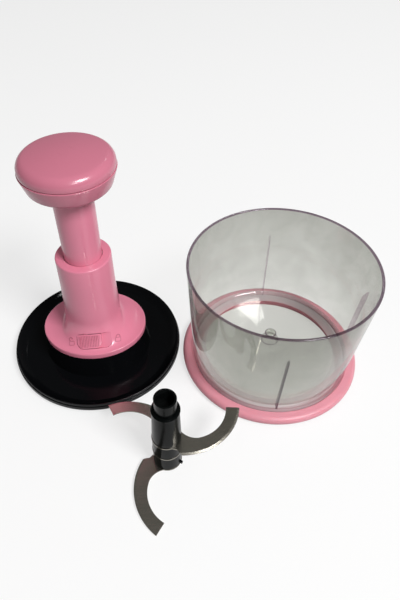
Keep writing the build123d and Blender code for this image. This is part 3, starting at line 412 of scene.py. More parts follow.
def blended(a, b, width):
    """The larger of two values, rounded off where they are close."""
    near = max(width - abs(a - b), 0) / width
    return max(a, b) + near * near * width / 4


def oval_reach(angle, half_x, half_y, centre_y):
    """Distance from the axis to an upright oval's edge, in one direction."""
    c, s = math.cos(angle), math.sin(angle)
    a = (c / half_x) ** 2 + (s / half_y) ** 2
    b = -2 * s * centre_y / half_y**2
    d = (centre_y / half_y) ** 2 - 1
    return (-b + math.sqrt(b * b - 4 * a * d)) / (2 * a)


def through(z, values):
    """A smooth curve through three values, one at each of the ramp's heights."""
    low, mid, high = RAMP_HEIGHTS
    return (
        values[0] * (z - mid) * (z - high) / ((low - mid) * (low - high))
        + values[1] * (z - low) * (z - high) / ((mid - low) * (mid - high))
        + values[2] * (z - low) * (z - mid) / ((high - low) * (high - mid))
    )


def wall_reach(angle, z):
    """Radius of the tower's wall with its hollow foot and the front ramp."""
    share = min(max((z - TAPER_FROM) / (TOWER_END - TAPER_FROM), 0), 1)
    reach = TOWER_FOOT + (TOWER_TOP - TOWER_FOOT) * share
    if z < HOLLOW_TOP:
        arc = HOLLOW_CENTRE - math.sqrt(HOLLOW_RADIUS**2 - (HOLLOW_TOP - z) ** 2)
        reach = blended(reach, arc, HOLLOW_BLEND)
    at = min(z, RAMP_HEIGHTS[-1])
    ramp = oval_reach(angle, through(at, RAMP_HALF_X), through(at, RAMP_HALF_Y), through(at, RAMP_CENTRE_Y))
    return blended(reach, ramp - RAMP_LEAN * (z - at), RAMP_BLEND)


front = [round(wall_reach(-math.pi / 2, z), 1) for z in (38, 90)]
print("reach to the front at 38 and 90 mm", front)

# %% [markdown]
# It starts as a plain turned form, with enough rings of points on its wall and flange to
# bend: one ring every 1.8 mm up most of the tower, and sixteen across the flange. The bore
# for the plunger and its spring is turned with it, so that the wall has its real thickness.

# %% Turn the housing
FLANGE = (47.7, 40.3, -1.1)
FLANGE_TOP, FLANGE_FOOT = 34.0, 28.0
TUBE_HOLE, BORE, BORE_END = 16.45, 20.6, 114.9
WALL_RINGS, WALL_PITCH, WALL_FROM, FIELD_RINGS = 31, 1.8, 92, 16
wall_rows = [(TOWER_FOOT, WALL_FROM - WALL_PITCH * i, 0) for i in range(WALL_RINGS)]
field_rows = [
    (TOWER_FOOT + (FLANGE[0] - TOWER_FOOT) * i / FIELD_RINGS, FLANGE_TOP, 0)
    for i in range(1, FIELD_RINGS + 1)
]
shell = turn(
    lid_axis,
    (
        (TUBE_HOLE, TOWER_END, 0), (TOWER_TOP, TOWER_END, 1.3), *wall_rows, *field_rows,
        (FLANGE[0], FLANGE_FOOT, 0), (BORE, FLANGE_FOOT, 0), (BORE, BORE_END, 0), (TUBE_HOLE, BORE_END, 0),
    ),
    steps=224,
)
print("housing starts with", len(shell.verts), "points")

# %% [markdown]
# Then each point is moved outwards or inwards to its reach. Points of the wall go to the
# wall's own curve, the flange's rim goes to the oval, and the field between them is shared
# out and lifted in a soft sweep towards the wall. The bore stays round.

# %% Shape the housing
SKIRT, SWEEP, NEAR = 38.0, 2.2, 0.01
for vert in shell.verts:
    x, y, z = vert.co.x / MM - lid_axis.x / MM, vert.co.y / MM - lid_axis.y / MM, vert.co.z / MM
    reach, angle = math.hypot(x, y), math.atan2(y, x)
    rim = oval_reach(angle, *FLANGE)
    if abs(z - FLANGE_TOP) < NEAR and reach > TOWER_FOOT + 0.1:
        share = (reach - TOWER_FOOT) / (FLANGE[0] - TOWER_FOOT)
        start = wall_reach(angle, SKIRT)
        reach = start + (rim - start) * share
        z = FLANGE_TOP + (SKIRT - FLANGE_TOP) * (1 - share) ** SWEEP
    elif abs(reach - TOWER_FOOT) < NEAR and z > SKIRT - 0.1:
        reach = wall_reach(angle, z)
    elif reach > FLANGE[0] - NEAR:
        reach = rim
    vert.co = lid_axis.x + math.cos(angle) * reach * MM, lid_axis.y + math.sin(angle) * reach * MM, z * MM
print("flange about", round(2 * FLANGE[0]), "by", round(2 * FLANGE[1]), "mm")

# %% [markdown]
# The flange's upper edge is rounded more than its lower one, because fingers meet the upper
# one and the lower one only sits on the lid. Both are found by their height and by the oval
# that they lie on, because no circle fits them after the points have moved.

# %% Round the flange
def on_flange_edge(vert, z):
    """Whether a vertex lies on the flange's oval at a height in mm."""
    angle = math.atan2(vert.co.y - lid_axis.y, vert.co.x - lid_axis.x)
    off = reach_from(lid_axis, vert.co) / MM - oval_reach(angle, *FLANGE)
    return abs(vert.co.z - z * MM) < 1e-6 and abs(off) < NEAR


for z, rounding in ((FLANGE_TOP, 0.9), (FLANGE_FOOT, 0.5)):
    round_off(shell, [e for e in shell.edges if all(on_flange_edge(v, z) for v in e.verts)], rounding, 4)
housing = settle("housing_shell", shell, (pink_abs,), "lid", "pink_plastic", "tower_housing")

# %% [markdown]
# The lock's slot is a pocket sunk square to the ramp, which leans back by 49 degrees and
# turns slightly with the tower. A frame of three directions, along, up and out of the
# slot, makes that lean easy to use again for the button's ribs and the padlock signs. The
# solid that cuts the pocket is a flat rectangle whose corners are rounded and which is
# then pulled up to a block. Its lower corners are wide, as the thumb slides along them.

# %% Frame of the slot and its block
TILT, LEAN = math.radians(49), math.radians(2.5)
slot_u = Vector((math.cos(LEAN), math.sin(LEAN) * math.cos(TILT), math.sin(LEAN) * math.sin(TILT)))
slot_out = Vector((0, -math.sin(TILT), math.cos(TILT)))
slot_v = slot_out.cross(slot_u)
slot_centre = Vector((lid_axis.x + 2.3 * MM, lid_axis.y - 31.5 * MM, 41.1 * MM))
slot_frame = Matrix.Translation(slot_centre) @ Matrix((slot_u, slot_v, slot_out)).transposed().to_4x4()


def rounded_block(width, height, low, high, low_round, high_round):
    """A block from one height to another, whose lower and upper corners have their own radii, in mm."""
    bm = bmesh.new()
    bmesh.ops.create_grid(bm, x_segments=1, y_segments=1, size=0.5 * MM)
    bmesh.ops.scale(bm, vec=(width, height, 1), verts=bm.verts)
    bmesh.ops.translate(bm, vec=(0, 0, low * MM), verts=bm.verts)
    for below, radius in ((True, low_round), (False, high_round)):
        ends = [v for v in bm.verts if (v.co.y < 0) == below and abs(v.co.y) > (height / 2 - 0.01) * MM]
        ends = [v for v in ends if abs(v.co.x) > (width / 2 - 0.01) * MM]
        if radius:
            round_off(bm, ends, radius, 8, affect="VERTICES")
    grown = bmesh.ops.extrude_face_region(bm, geom=bm.faces[:])["geom"]
    risen = [v for v in grown if isinstance(v, bmesh.types.BMVert)]
    bmesh.ops.translate(bm, vec=(0, 0, (high - low) * MM), verts=risen)
    bmesh.ops.recalc_face_normals(bm, faces=bm.faces)
    return bm


print("slot centre", tuple(round(c, 4) for c in slot_centre))

# %% [markdown]
# A window behind the pocket lets the lock's tongue into the tower, as long as the lock's
# travel. Both are cut with solids by an exact Boolean, because a cut through a curved wall
# leaves the cleanest rim. The result is made the piece's own mesh, so that nothing live is
# left on it and the cutting solids can go.

# %% Cut the slot and the window
window_at = Matrix.Translation((lid_axis.x - 1.0 * MM, lid_axis.y - 23.6 * MM, 42.9 * MM))
cutters = []
for block, placed in (
    (rounded_block(32.0, 13.8, -4.0, 8.0, 6.1, 2.8), slot_frame),
    (rounded_block(13.6, 13.0, 0, 3.5, 0, 0), window_at),
):
    bmesh.ops.transform(block, matrix=placed, verts=block.verts)
    cutter_mesh = bpy.data.meshes.new("cutter")
    block.to_mesh(cutter_mesh)
    block.free()
    cutter = bpy.data.objects.new("cutter", cutter_mesh)
    bpy.context.scene.collection.objects.link(cutter)
    pocket = housing.modifiers.new("pocket", "BOOLEAN")
    pocket.object = cutter
    pocket.operation = "DIFFERENCE"
    pocket.solver = "EXACT"
    cutters.append(cutter)
cut = bpy.data.meshes.new_from_object(housing.evaluated_get(bpy.context.evaluated_depsgraph_get()))
housing.modifiers.clear()
housing.data = cut
for cutter in cutters:
    bpy.data.objects.remove(cutter)
print("housing with its slot", len(cut.polygons), "faces")

# %% [markdown]
# The sliding button is the same pink ABS with thirteen fine ribs, 1.45 mm apart. The pink
# is painted darker in the grooves between them, as painted shade, which is what makes
# such small ribs readable. A stripe texture would have to be lined up by eye. The bands
# are worked out from the distance along the slot instead, which keeps them on the ribs,
# and they stop where the ribs do.

# %% Button
RIB_PITCH, BUTTON_BACK = 1.45, 4.5
RIB_LIMITS = ((9.4, slot_u), (5.2, slot_v))
ribbed_abs, tree, shader, place = pink_plastic("pink moulded ABS of the lock button", *PINK)
clean = shader.inputs["Base Color"].links[0].from_socket
button_centre = slot_centre - slot_u * BUTTON_BACK * MM
from_centre = add_node(tree, "ShaderNodeVectorMath", {0: place, 1: button_centre}, operation="SUBTRACT")
reaches = []
for limit, way in RIB_LIMITS:
    along = add_node(
        tree, "ShaderNodeVectorMath", {0: from_centre.outputs[0], 1: way}, operation="DOT_PRODUCT"
    )
    reaches.append((along.outputs["Value"], limit))
turns = add_node(
    tree, "ShaderNodeMath", {0: reaches[0][0], 1: 2 * math.pi * per_mm(RIB_PITCH)}, operation="MULTIPLY"
)
waves = add_node(tree, "ShaderNodeMath", {0: turns.outputs[0]}, operation="COSINE")
groove = add_node(tree, "ShaderNodeMapRange", {0: waves.outputs[0], 1: 0.4, 2: -0.6, 3: 0.0, 4: 0.5})
for reach, limit in reaches:
    size = add_node(tree, "ShaderNodeMath", {0: reach}, operation="ABSOLUTE")
    inside = add_node(tree, "ShaderNodeMath", {0: size.outputs[0], 1: limit * MM}, operation="LESS_THAN")
    groove = add_node(
        tree, "ShaderNodeMath", {0: groove.outputs[0], 1: inside.outputs[0]}, operation="MULTIPLY"
    )
# Painted shade: the pink is darker in the grooves between the ribs.
groove_shade = add_node(
    tree, "ShaderNodeMix", {0: groove.outputs[0], 6: clean, 7: linear("93505f")}, data_type="RGBA"
)
tree.links.new(groove_shade.outputs[2], shader.inputs["Base Color"])
paint(ribbed_abs, "lock_button")

# %% [markdown]
# Two small padlock signs stand beside the slot, an open one on the left and a closed one
# on the right, raised by half a millimetre. Each is a body and a bow. The body is a rounded
# plate with a narrow border set into its top. The bow is a small square swept through half
# a turn, and the open lock's bow is swung aside about one foot.

# %% Parts of a padlock sign
BOW_RADIUS = 1.6


def padlock_body():
    """The plate, with its top in the first material and its border and sides in the second."""
    bm = rounded_block(5.0, 3.8, -0.3, 0.55, 0.6, 0.6)
    bmesh.ops.translate(bm, vec=(0, -1.9 * MM, 0), verts=bm.verts)
    bm.normal_update()
    tops = [face for face in bm.faces if face.normal.z > 0.9]
    bmesh.ops.inset_individual(bm, faces=tops, thickness=0.5 * MM, depth=0)
    for face in bm.faces:
        face.material_index = 0 if face in tops else 1
    return bm


def padlock_bow(swing):
    """The bow above the plate, swung about its left foot by an angle in degrees."""
    bm = bmesh.new()
    section = bmesh.ops.create_grid(bm, x_segments=1, y_segments=1, size=0.5)["verts"]
    for vert in section:
        vert.co = Vector((BOW_RADIUS + vert.co.x * 0.8, 0.0, 0.125 + vert.co.y * 0.85)) * MM
    bmesh.ops.spin(
        bm, geom=bm.verts[:] + bm.edges[:] + bm.faces[:], cent=(0, 0, 0), axis=(0, 0, 1), dvec=(0, 0, 0),
        angle=math.pi, steps=14, use_merge=False, use_duplicate=False,
    )
    for face in bm.faces:
        face.material_index = 1
    for vert in bm.verts:
        vert.co.y += 0.7 * MM if vert.co.y > 0.01 * MM else -0.1 * MM
    swung = Matrix.Rotation(math.radians(swing), 3, "Z")
    bmesh.ops.rotate(bm, cent=(-BOW_RADIUS * MM, 0, 0), matrix=swung, verts=bm.verts)
    return bm


print("padlock bow", 2 * BOW_RADIUS, "mm from foot to foot")

# %% [markdown]
# The signs are drawn flat in the slot's own frame and then laid on the ramp. A shrinkwrap
# modifier could do that, but it would flatten their thickness. Here each point is dropped
# straight onto the ramp by a ray and then lifted again by its own height, so the signs
# follow the curve and stay half a millimetre proud. Their tops keep the plain pink, and
# their border and sides are painted darker, partly as grime and partly as painted shade
# along the raised edge, which draws the outline.

# %% Padlock signs
def pour(part, whole):
    """Adds one bmesh to another, by way of a mesh that is then removed."""
    loose = bpy.data.meshes.new("loose")
    part.to_mesh(loose)
    part.free()
    whole.from_mesh(loose)
    bpy.data.meshes.remove(loose)


ramp_surface = BVHTree.FromPolygons([v.co for v in cut.vertices], [tuple(p.vertices) for p in cut.polygons])
signs = bmesh.new()
for centre_u, swing in ((-21.0, 38), (20.8, 0)):
    for part in (padlock_body(), padlock_bow(swing)):
        bmesh.ops.translate(part, vec=(centre_u * MM, 1.0 * MM, 0), verts=part.verts)
        for vert in part.verts:
            above = slot_frame @ Vector((vert.co.x, vert.co.y, 20 * MM))
            landed = ramp_surface.ray_cast(above, -slot_out)[0]
            vert.co = landed + slot_out * vert.co.z
        pour(part, signs)
# Pink ABS painted darker, partly as grime and partly as painted shade on the raised edges, dark enough to
# draw the outline of the signs.
grime_and_edge_shade_pink = pink_plastic("pink moulded ABS with grime and painted edge shade", "bf6d83", "c6748a")[0]
settle("padlock_signs", signs, (pink_abs, grime_and_edge_shade_pink), "lid", "pink_plastic", sharp=30)

# %% [markdown]
# The base ring is silicone, moulded in one piece: the same pink, paler and softer. Light
# goes a few millimetres into it and comes out redder, which keeps its shadows warm, so it
# has some subsurface scattering. Its satin skin holds fine dust, which roughens it in
# specks of 2.5 mm, drawn larger than real dust so that they show.

# %% Pink silicone
pink_silicone, tree, shader, place = new_material(
    "pink moulded silicone", IOR=1.41, Subsurface_Weight=0.25, Subsurface_Scale=2.5 * MM, Roughness=0.34
)
shader.inputs["Subsurface Radius"].default_value = (1.0, 0.45, 0.5)
cloud = add_node(tree, "ShaderNodeTexNoise", {"Vector": place, "Scale": per_mm(30), "Detail": 2.0})
tint = add_node(
    tree, "ShaderNodeMix", {0: cloud.outputs[0], 6: linear("d98f9c"), 7: linear("e199a6")}, data_type="RGBA"
)
tree.links.new(tint.outputs[2], shader.inputs["Base Color"])
dust = add_node(tree, "ShaderNodeTexNoise", {"Vector": place, "Scale": per_mm(2.5), "Detail": 5.0})
satin = add_node(tree, "ShaderNodeMapRange", {0: dust.outputs[0], 1: 0.35, 2: 0.65, 3: 0.30, 4: 0.42})
tree.links.new(satin.outputs[0], shader.inputs["Roughness"])
bump = add_node(tree, "ShaderNodeBump", {"Height": dust.outputs[0], "Strength": 0.2, "Distance": 0.03 * MM})
tree.links.new(bump.outputs[0], shader.inputs["Normal"])
paint(pink_silicone, "base_ring")

# %% [markdown]
# The bowl is clear SAN, moulded in a polished tool. It is faintly grey-green, and the tint
# adds up where one looks through several walls. Glass with real refraction would bend the
# rays many times in this thin wall and come out dark and noisy, so the plastic is a tinted
# see-through surface under a thin gloss that grows towards grazing angles. To shadows and
# to scattered light it is almost colourless, as a thin wall is. The tint drifts a little, as
# washed plastic does, and is painted deeper from one height to another as painted shade.
# Some milk is mixed in as painted sheen on the wall and painted reflection at the foot.

# %% Clear SAN
def clear_plastic(name, light, dark, low, high, milky=0.0):
    """A clear moulding that darkens between two heights in mm, with a share of milky plastic."""
    material, tree, shader, place = new_material(name)
    height = add_node(tree, "ShaderNodeSeparateXYZ", {0: place}).outputs["Z"]
    wash = add_node(
        tree, "ShaderNodeTexNoise", {"Vector": place, "Scale": per_mm(26), "Detail": 2.0, "Distortion": 0.6}
    )
    # Painted shade: the tint is deeper towards the upper of the two heights.
    level = add_node(tree, "ShaderNodeMapRange", {0: height, 1: low * MM, 2: high * MM})
    mixed = add_node(tree, "ShaderNodeMix", {0: 0.35, 2: level.outputs[0], 3: wash.outputs[0]})
    tint = add_node(
        tree, "ShaderNodeMix", {0: mixed.outputs[0], 6: linear(light), 7: linear(dark)}, data_type="RGBA"
    ).outputs[2]
    rays = add_node(tree, "ShaderNodeLightPath").outputs
    lit = add_node(
        tree, "ShaderNodeMath", {0: rays["Is Shadow Ray"], 1: rays["Is Diffuse Ray"]}, operation="MAXIMUM"
    )
    lit = add_node(tree, "ShaderNodeMix", {0: lit.outputs[0], 6: tint, 7: linear("f8f8f7")}, data_type="RGBA")
    clear = add_node(tree, "ShaderNodeBsdfTransparent", {"Color": lit.outputs[2]})
    # Painted sheen and reflection: a share of lit milk over the clear plastic.
    if milky:
        milk = add_node(tree, "ShaderNodeBsdfDiffuse", {"Color": tint})
        clear = add_node(tree, "ShaderNodeMixShader", {0: milky, 1: clear.outputs[0], 2: milk.outputs[0]})
    gloss = add_node(tree, "ShaderNodeBsdfGlossy", {"Color": (1, 1, 1, 1), "Roughness": 0.03})
    facing = add_node(tree, "ShaderNodeLayerWeight", {"Blend": 0.5})
    grazing = add_node(tree, "ShaderNodeMath", {0: facing.outputs["Facing"], 1: 5.0}, operation="POWER")
    edge = add_node(tree, "ShaderNodeMapRange", {0: grazing.outputs[0], 3: 0.04, 4: 0.9})
    skin = add_node(
        tree, "ShaderNodeMixShader", {0: edge.outputs[0], 1: clear.outputs[0], 2: gloss.outputs[0]}
    )
    tree.nodes.remove(shader)
    tree.links.new(skin.outputs[0], tree.nodes["Material Output"].inputs["Surface"])
    return material


# The thin wall, faintly grey-green, painted deeper towards the rim as painted shade, with a breath of milk as
# painted sheen.
clear_san = clear_plastic("clear moulded SAN", "f9f9f7", "cbccc7", 8, 125, milky=0.05)
# Plastic seen edge on, deeper from the long path and a little purple as painted refraction of the pink parts,
# which draws the rim and the front fin.
rim_san = clear_plastic("clear SAN along its rim", "a38fa0", "93808f", 0, 110)
# The thick foot skirt, half milky as painted reflection, which shows as a pale band.
foot_san = clear_plastic("clear SAN at the foot", "f3eeef", "ebe4e6", 0, 12, milky=0.5)
# The flat floor, looked through only once and nearly without tint, so the table shows.
floor_san = clear_plastic("clear SAN of the floor", "f1f1ef", "e6e7e3", 0, 30)
# A fin seen from its side, one thin sheet more, which only just shades the wall behind it.
fin_san = clear_plastic("clear SAN through a fin", "f5f1f4", "eae4e9", 0, 110)
print("clear plastics", len([m for m in bpy.data.materials if "SAN" in m.name]))

# %% [markdown]
# The bowl is turned from its section: foot skirt, thin tapered wall, rounded rim, floor and
# the shouldered post that the blade carrier runs on. Looking along the rim and the post's
# edges one looks through much more plastic, so those faces carry a deeper tint, a little
# purple as painted refraction of the pink parts. The foot band is milky as painted
# reflection, and the floor is nearly free of tint. One mesh with four materials keeps the
# walls closed, where separate pieces would show their joints.

# %% Bowl
UNDERSIDE, FLOOR_TOP, SHOULDER, POST_TOP, RIM_TOP = 9.6, 12.4, 21.0, 29.5, 113.3
bowl = turn(
    bowl_axis,
    (
        (0, UNDERSIDE, 0), (59.8, UNDERSIDE, 0), (69.2, UNDERSIDE, 0.8), (69.2, 2.6, 0), (71.6, 2.6, 0.4),
        (72.0, FLOOR_TOP, 0.8), (79.3, RIM_TOP, 1.0), (76.9, RIM_TOP, 0.9), (69.6, FLOOR_TOP, 4.0),
        (8.0, FLOOR_TOP, 0.8), (8.0, SHOULDER, 0.6), (5.3, SHOULDER, 0.3), (5.3, POST_TOP, 0.9),
        (0, POST_TOP, 0),
    ),
)
for face in bowl.faces:
    centre = face.calc_center_median()
    reach, z = reach_from(bowl_axis, centre) / MM, centre.z / MM
    post_edge = 4.3 < reach < 8.2 and z > POST_TOP - 1.0
    shoulder_edge = 7.4 < reach < 8.2 and SHOULDER - 0.8 < z < SHOULDER + 0.1
    if z > RIM_TOP - 0.9 or post_edge or shoulder_edge:
        face.material_index = 1
    elif z < FLOOR_TOP - 0.1 and reach > 59.8:
        face.material_index = 2
    elif reach < 66:
        face.material_index = 3
settle("clear_bowl", bowl, (clear_san, rim_san, foot_san, floor_san), "bowl", "clear_plastic", "bowl")

# %% [markdown]
# Four fins stand against the wall inside and stop the food from turning with the blades.
# Each grows from a small rectangle on the floor that is pulled up three times, leaning
# outwards with the wall and thinning to a slanted tip. The first rectangle stays as the
# fin's foot. After the second and the third pull the face that was pulled from is deleted,
# because the mesh of a solid has no walls inside it. The front fin is seen edge on, through
# the most plastic, and is the darkest, in the rim's purple as painted refraction.

# %% Fins
FIN_FOOT = (68.9, 5.2, 1.6, 11.9)
FIN_ROWS = ((17.0, 67.3, 71.5, 0.82), (78.8, 71.7, 75.9, 0.82), (84.0, 74.5, 76.3, 0.35))
FIRST_FIN, DARK_FIN = -4, 3
fins = bmesh.new()
for i in range(4):
    ends = bmesh.ops.create_grid(fins, x_segments=1, y_segments=1, size=0.5)["verts"]
    middle_x, long, thick, foot = FIN_FOOT
    for vert in ends:
        vert.co = Vector((middle_x + vert.co.x * long, vert.co.y * thick, foot)) * MM
    made = list(ends)
    for height, inner, outer, thinner in FIN_ROWS:
        face = [f for f in fins.faces if all(v in ends for v in f.verts)]
        grown = bmesh.ops.extrude_face_region(fins, geom=face)["geom"]
        if height != FIN_ROWS[0][0]:
            bmesh.ops.delete(fins, geom=face, context="FACES_ONLY")
        ends = [v for v in grown if isinstance(v, bmesh.types.BMVert)]
        near = min(v.co.x for v in ends)
        for vert in ends:
            vert.co.x = (inner if vert.co.x < near + 0.1 * MM else outer) * MM
            vert.co.y *= thinner
            vert.co.z = height * MM
        made += ends
    turned = Matrix.Rotation(math.radians(90 * i + FIRST_FIN), 4, "Z")
    placed = Matrix.Translation((bowl_axis.x, bowl_axis.y, 0)) @ turned
    bmesh.ops.transform(fins, matrix=placed, verts=made)
    for face in {f for v in made for f in v.link_faces}:
        # Painted refraction: the front fin takes the rim's deeper purple.
        face.material_index = 1 if i == DARK_FIN else 0
settle("bowl_fins", fins, (fin_san, rim_san), "bowl", "clear_plastic")

# %% [markdown]
# The lid is black ABS with a polished face. Black has almost no colour of its own and
# shows every reflection, so its finish is nearly all in the roughness, which wanders over
# patches that cloths and fingers have rubbed. Its specular level is low, because a studio
# this pale would otherwise turn the black to grey.

# %% Black ABS of the lid
black_abs, tree, shader, place = new_material("black polished ABS", IOR=1.5, Base_Color=linear("090a0c"))
shader.inputs["Specular IOR Level"].default_value = 0.14
rubbed = add_node(tree, "ShaderNodeTexNoise", {"Vector": place, "Scale": per_mm(26), "Detail": 5.0})
gloss = add_node(tree, "ShaderNodeMapRange", {0: rubbed.outputs[0], 1: 0.35, 2: 0.7, 3: 0.10, 4: 0.17})
tree.links.new(gloss.outputs[0], shader.inputs["Roughness"])
paint(black_abs, "lid_plate")

# %% [markdown]
# Two fine beads run round the lid's edge, one along the top and one above the step. They
# come out of the tool's sharp corners with a harder polish than the wide faces, so each
# shows as a thin light line. They could be a bump in the lid's material, but a line this
# thin needs real geometry to catch the light from every side.

# %% Lid beads
BEADS = ((79.35, 7.75), (78.55, 10.75))
OUTWARD, INWARD, HALF_HIGH, BEAD_ROUNDING = 0.5, 0.4, 0.35, 0.3
bead_abs, tree, shader, place = new_material("black ABS, polished edge", IOR=1.5, Base_Color=linear("0b0c0e"))
worn = add_node(tree, "ShaderNodeTexNoise", {"Vector": place, "Scale": per_mm(12), "Detail": 3.0})
gloss = add_node(tree, "ShaderNodeMapRange", {0: worn.outputs[0], 1: 0.3, 2: 0.7, 3: 0.12, 4: 0.28})
tree.links.new(gloss.outputs[0], shader.inputs["Roughness"])
beads = bmesh.new()
for r, z in BEADS:
    section = (
        (r + OUTWARD, z - HALF_HIGH, BEAD_ROUNDING), (r + OUTWARD, z + HALF_HIGH, BEAD_ROUNDING),
        (r - INWARD, z + HALF_HIGH, BEAD_ROUNDING), (r - INWARD, z - HALF_HIGH, 0),
    )
    pour(turn(lid_axis, section, steps=240), beads)
settle("lid_beads", beads, (bead_abs,), "lid", "lid_black")

# %% [markdown]
# The blade carrier is black ABS too, in a slightly greyer grade. Long thick mouldings sink
# as they cool and leave low waves, about 9 mm apart, and they bend the highlight down the
# sleeve. A shallow bump shows them, and the same waves vary the gloss.

# %% Black of the blade carrier
carrier_abs, tree, shader, place = new_material("black moulded ABS", IOR=1.5, Base_Color=linear("090b0b"))
shader.inputs["Specular IOR Level"].default_value = 0.07
waves = add_node(tree, "ShaderNodeTexNoise", {"Vector": place, "Scale": per_mm(9), "Detail": 2.0})
gloss = add_node(tree, "ShaderNodeMapRange", {0: waves.outputs[0], 1: 0.3, 2: 0.7, 3: 0.14, 4: 0.26})
tree.links.new(gloss.outputs[0], shader.inputs["Roughness"])
bump = add_node(tree, "ShaderNodeBump", {"Height": waves.outputs[0], "Strength": 0.25, "Distance": 0.08 * MM})
tree.links.new(bump.outputs[0], shader.inputs["Normal"])
paint(carrier_abs, "hub_core", "drive_flat", "hub_sleeve", "upper_spacer", "lower_spacer")

# %% [markdown]
# Two dull blacks sit under the lid. The gearbox cover was moulded in a tool that was eaten
# by sparks, which leaves a fine matt grain of half a millimetre. The gasket is silicone
# with a soft, slightly dusty skin. Both scatter light widely and look greyer than the lid.

# %% Blacks of the cover and the gasket
# Spark-textured ABS, whose dull grain swallows the highlight.
matt_cover, tree, shader, place = new_material(
    "black spark-textured ABS", IOR=1.5, Base_Color=linear("1c1c1d")
)
spark = add_node(tree, "ShaderNodeTexNoise", {"Vector": place, "Scale": per_mm(0.5), "Detail": 2.0})
gloss = add_node(tree, "ShaderNodeMapRange", {0: spark.outputs[0], 3: 0.5, 4: 0.7})
tree.links.new(gloss.outputs[0], shader.inputs["Roughness"])
bump = add_node(tree, "ShaderNodeBump", {"Height": spark.outputs[0], "Strength": 0.5, "Distance": 0.04 * MM})
tree.links.new(bump.outputs[0], shader.inputs["Normal"])
paint(matt_cover, "gearbox_cover")

# Moulded silicone, soft and a little dusty, with a wide weak sheen.
gasket, tree, shader, place = new_material("black silicone gasket", IOR=1.41, Base_Color=linear("202122"))
skin = add_node(tree, "ShaderNodeTexNoise", {"Vector": place, "Scale": per_mm(3), "Detail": 4.0})
gloss = add_node(tree, "ShaderNodeMapRange", {0: skin.outputs[0], 3: 0.4, 4: 0.6})
tree.links.new(gloss.outputs[0], shader.inputs["Roughness"])
paint(gasket, "lid_gasket")

# %% [markdown]
# The blades are stainless sheet, stamped, tumbled to a soft mirror and then ground along
# the cutting edge. Fine lines run one way through the polish and stretch every reflection a
# little. A noise that is squeezed to a fourteenth in one direction draws them, about 1 mm
# apart, which is wider than real ones so that they show. Faces that stand upright are
# painted darker than flat ones, as painted shade, which keeps the stamped edges and the
# rims round the hub from shining.

# %% Blade steel
LINE_SQUEEZE, UPRIGHT, FLAT = 14.0, 0.1, 0.3
blade_steel, tree, shader, place = new_material("stainless sheet, tumbled", Metallic=1.0)
stretch = add_node(
    tree, "ShaderNodeMapping", {"Vector": place, "Rotation": (0, 0, 0.5), "Scale": (1.0, LINE_SQUEEZE, 1.0)}
)
lines = add_node(
    tree, "ShaderNodeTexNoise", {"Vector": stretch.outputs[0], "Scale": per_mm(16), "Detail": 3.0}
)
polished = add_node(
    tree, "ShaderNodeMix", {0: lines.outputs[0], 6: linear("cdc7ba"), 7: linear("d8d3c7")}, data_type="RGBA"
)
# Painted shade: upright faces get a darker steel colour than flat ones.
normal = add_node(tree, "ShaderNodeNewGeometry").outputs["Normal"]
rise = add_node(tree, "ShaderNodeSeparateXYZ", {0: normal}).outputs["Z"]
rise = add_node(tree, "ShaderNodeMath", {0: rise}, operation="ABSOLUTE")
flat = add_node(tree, "ShaderNodeMapRange", {0: rise.outputs[0], 1: UPRIGHT, 2: FLAT})
tone = add_node(
    tree, "ShaderNodeMix", {0: flat.outputs[0], 6: linear("8a867d"), 7: polished.outputs[2]}, data_type="RGBA"
)
tree.links.new(tone.outputs[2], shader.inputs["Base Color"])
gloss = add_node(tree, "ShaderNodeMapRange", {0: lines.outputs[0], 1: 0.3, 2: 0.7, 3: 0.20, 4: 0.27})
tree.links.new(gloss.outputs[0], shader.inputs["Roughness"])
paint(blade_steel, "lower_blade", "middle_blade", "upper_blade")

# %% [markdown]
# Bushes, gears and the nut are natural nylon, which runs smoothly without grease. It is a
# warm, slightly translucent white, a little cloudy where it cooled unevenly. Some
# subsurface scattering gives its edges the soft glow that tells it from painted metal.

# %% Nylon
nylon, tree, shader, place = new_material(
    "natural moulded nylon", IOR=1.53, Subsurface_Weight=0.2, Subsurface_Scale=1.0 * MM
)
cloud = add_node(tree, "ShaderNodeTexNoise", {"Vector": place, "Scale": per_mm(7), "Detail": 3.0})
tint = add_node(
    tree, "ShaderNodeMix", {0: cloud.outputs[0], 6: linear("ddd8cc"), 7: linear("ebe7dc")}, data_type="RGBA"
)
tree.links.new(tint.outputs[2], shader.inputs["Base Color"])
gloss = add_node(tree, "ShaderNodeMapRange", {0: cloud.outputs[0], 3: 0.35, 4: 0.5})
tree.links.new(gloss.outputs[0], shader.inputs["Roughness"])
paint(
    nylon, "foot_bush", "guide_bush", "plunger_nut", "drive_drum", "planet_gear_1", "planet_gear_2",
    "planet_gear_3", "output_bush", "output_shaft", "drum_bush",
)

# %% [markdown]
# Three steels work inside. Zinc plating on the screws and pins is bluish with a crystal
# grain of under a millimetre. The spindle is drawn bar, brighter and smoother, and the
# spring is bright wire, a little darker from its tempering. They are one kind of material
# with other values, so a table holds the colours, the grain in millimetres and the
# roughness, and one loop makes all three.

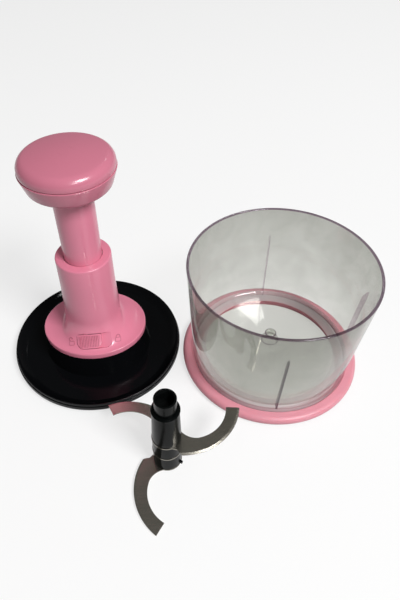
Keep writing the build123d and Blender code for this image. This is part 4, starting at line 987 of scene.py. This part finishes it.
# %% Steels inside
STEELS = (
    # Plated screws and pins, bluish, whose fine crystals break the highlight up.
    (
        "zinc plated steel", "9fa3a8", "b9bcc0", 0.8, 0.25, 0.45,
        ("housing_screws", "cover_screws", "knob_screws", "planet_pins", "spring_seat"),
    ),
    # Drawn bar, bright and smooth, which holds long reflections down the twist.
    ("drawn steel bar", "a8aaac", "c3c4c5", 1.5, 0.18, 0.32, ("twisted_spindle",)),
    # Tempered wire, a little darker, so that the coils stand out from the spindle.
    ("bright spring wire", "9b9da0", "b5b6b8", 1.2, 0.15, 0.30, ("return_spring",)),
)
steels = {}
for name, dark, light, grain, smooth, rough, wearers in STEELS:
    steels[name], tree, shader, place = new_material(name, Metallic=1.0)
    grains = add_node(tree, "ShaderNodeTexNoise", {"Vector": place, "Scale": per_mm(grain), "Detail": 3.0})
    tone = add_node(
        tree, "ShaderNodeMix", {0: grains.outputs[0], 6: linear(dark), 7: linear(light)}, data_type="RGBA"
    )
    tree.links.new(tone.outputs[2], shader.inputs["Base Color"])
    gloss = add_node(tree, "ShaderNodeMapRange", {0: grains.outputs[0], 3: smooth, 4: rough})
    tree.links.new(gloss.outputs[0], shader.inputs["Roughness"])
    paint(steels[name], *wearers)

# %% [markdown]
# The return spring is wound wire. A small circle is swept round the spindle while it
# climbs, which is one spin with a rise for each step, where a curve with a bevel would
# have to be made a mesh afterwards. The nut presses the spring together over the plunger's
# travel, as a compression spring is pressed: the lowest coil stays and the top one follows
# the nut. Here the coil gets its own mesh, and its free and pressed lengths are worked out.

# %% Return spring
low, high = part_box("return_spring")
WIRE, COILS, STEPS = 0.75 * MM, 8, 32
wind = (high.x - low.x) / 2 - WIRE
climb = high.z - low.z - 2 * WIRE
wire = bmesh.new()
bmesh.ops.create_circle(wire, cap_ends=True, radius=WIRE, segments=10)
bmesh.ops.rotate(wire, cent=(0, 0, 0), matrix=Matrix.Rotation(math.pi / 2, 3, "X"), verts=wire.verts)
bmesh.ops.translate(wire, vec=(lid_axis.x + wind, lid_axis.y, low.z + WIRE), verts=wire.verts)
bmesh.ops.spin(
    wire, geom=wire.verts[:] + wire.edges[:] + wire.faces[:], cent=(lid_axis.x, lid_axis.y, 0),
    axis=(0, 0, 1), dvec=(0, 0, climb / (COILS * STEPS)), angle=2 * math.pi * COILS,
    steps=COILS * STEPS, use_merge=False, use_duplicate=False,
)
coil = settle("spring_coil", wire, (steels["bright spring wire"],), "lid", "spring_steel", "return_spring")
TRAVEL = 57 * MM
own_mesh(coil)
free, pressed = high.z - low.z, high.z - low.z - TRAVEL
print("spring", round(free / MM, 1), "mm long, pressed to", round(pressed / MM, 1))
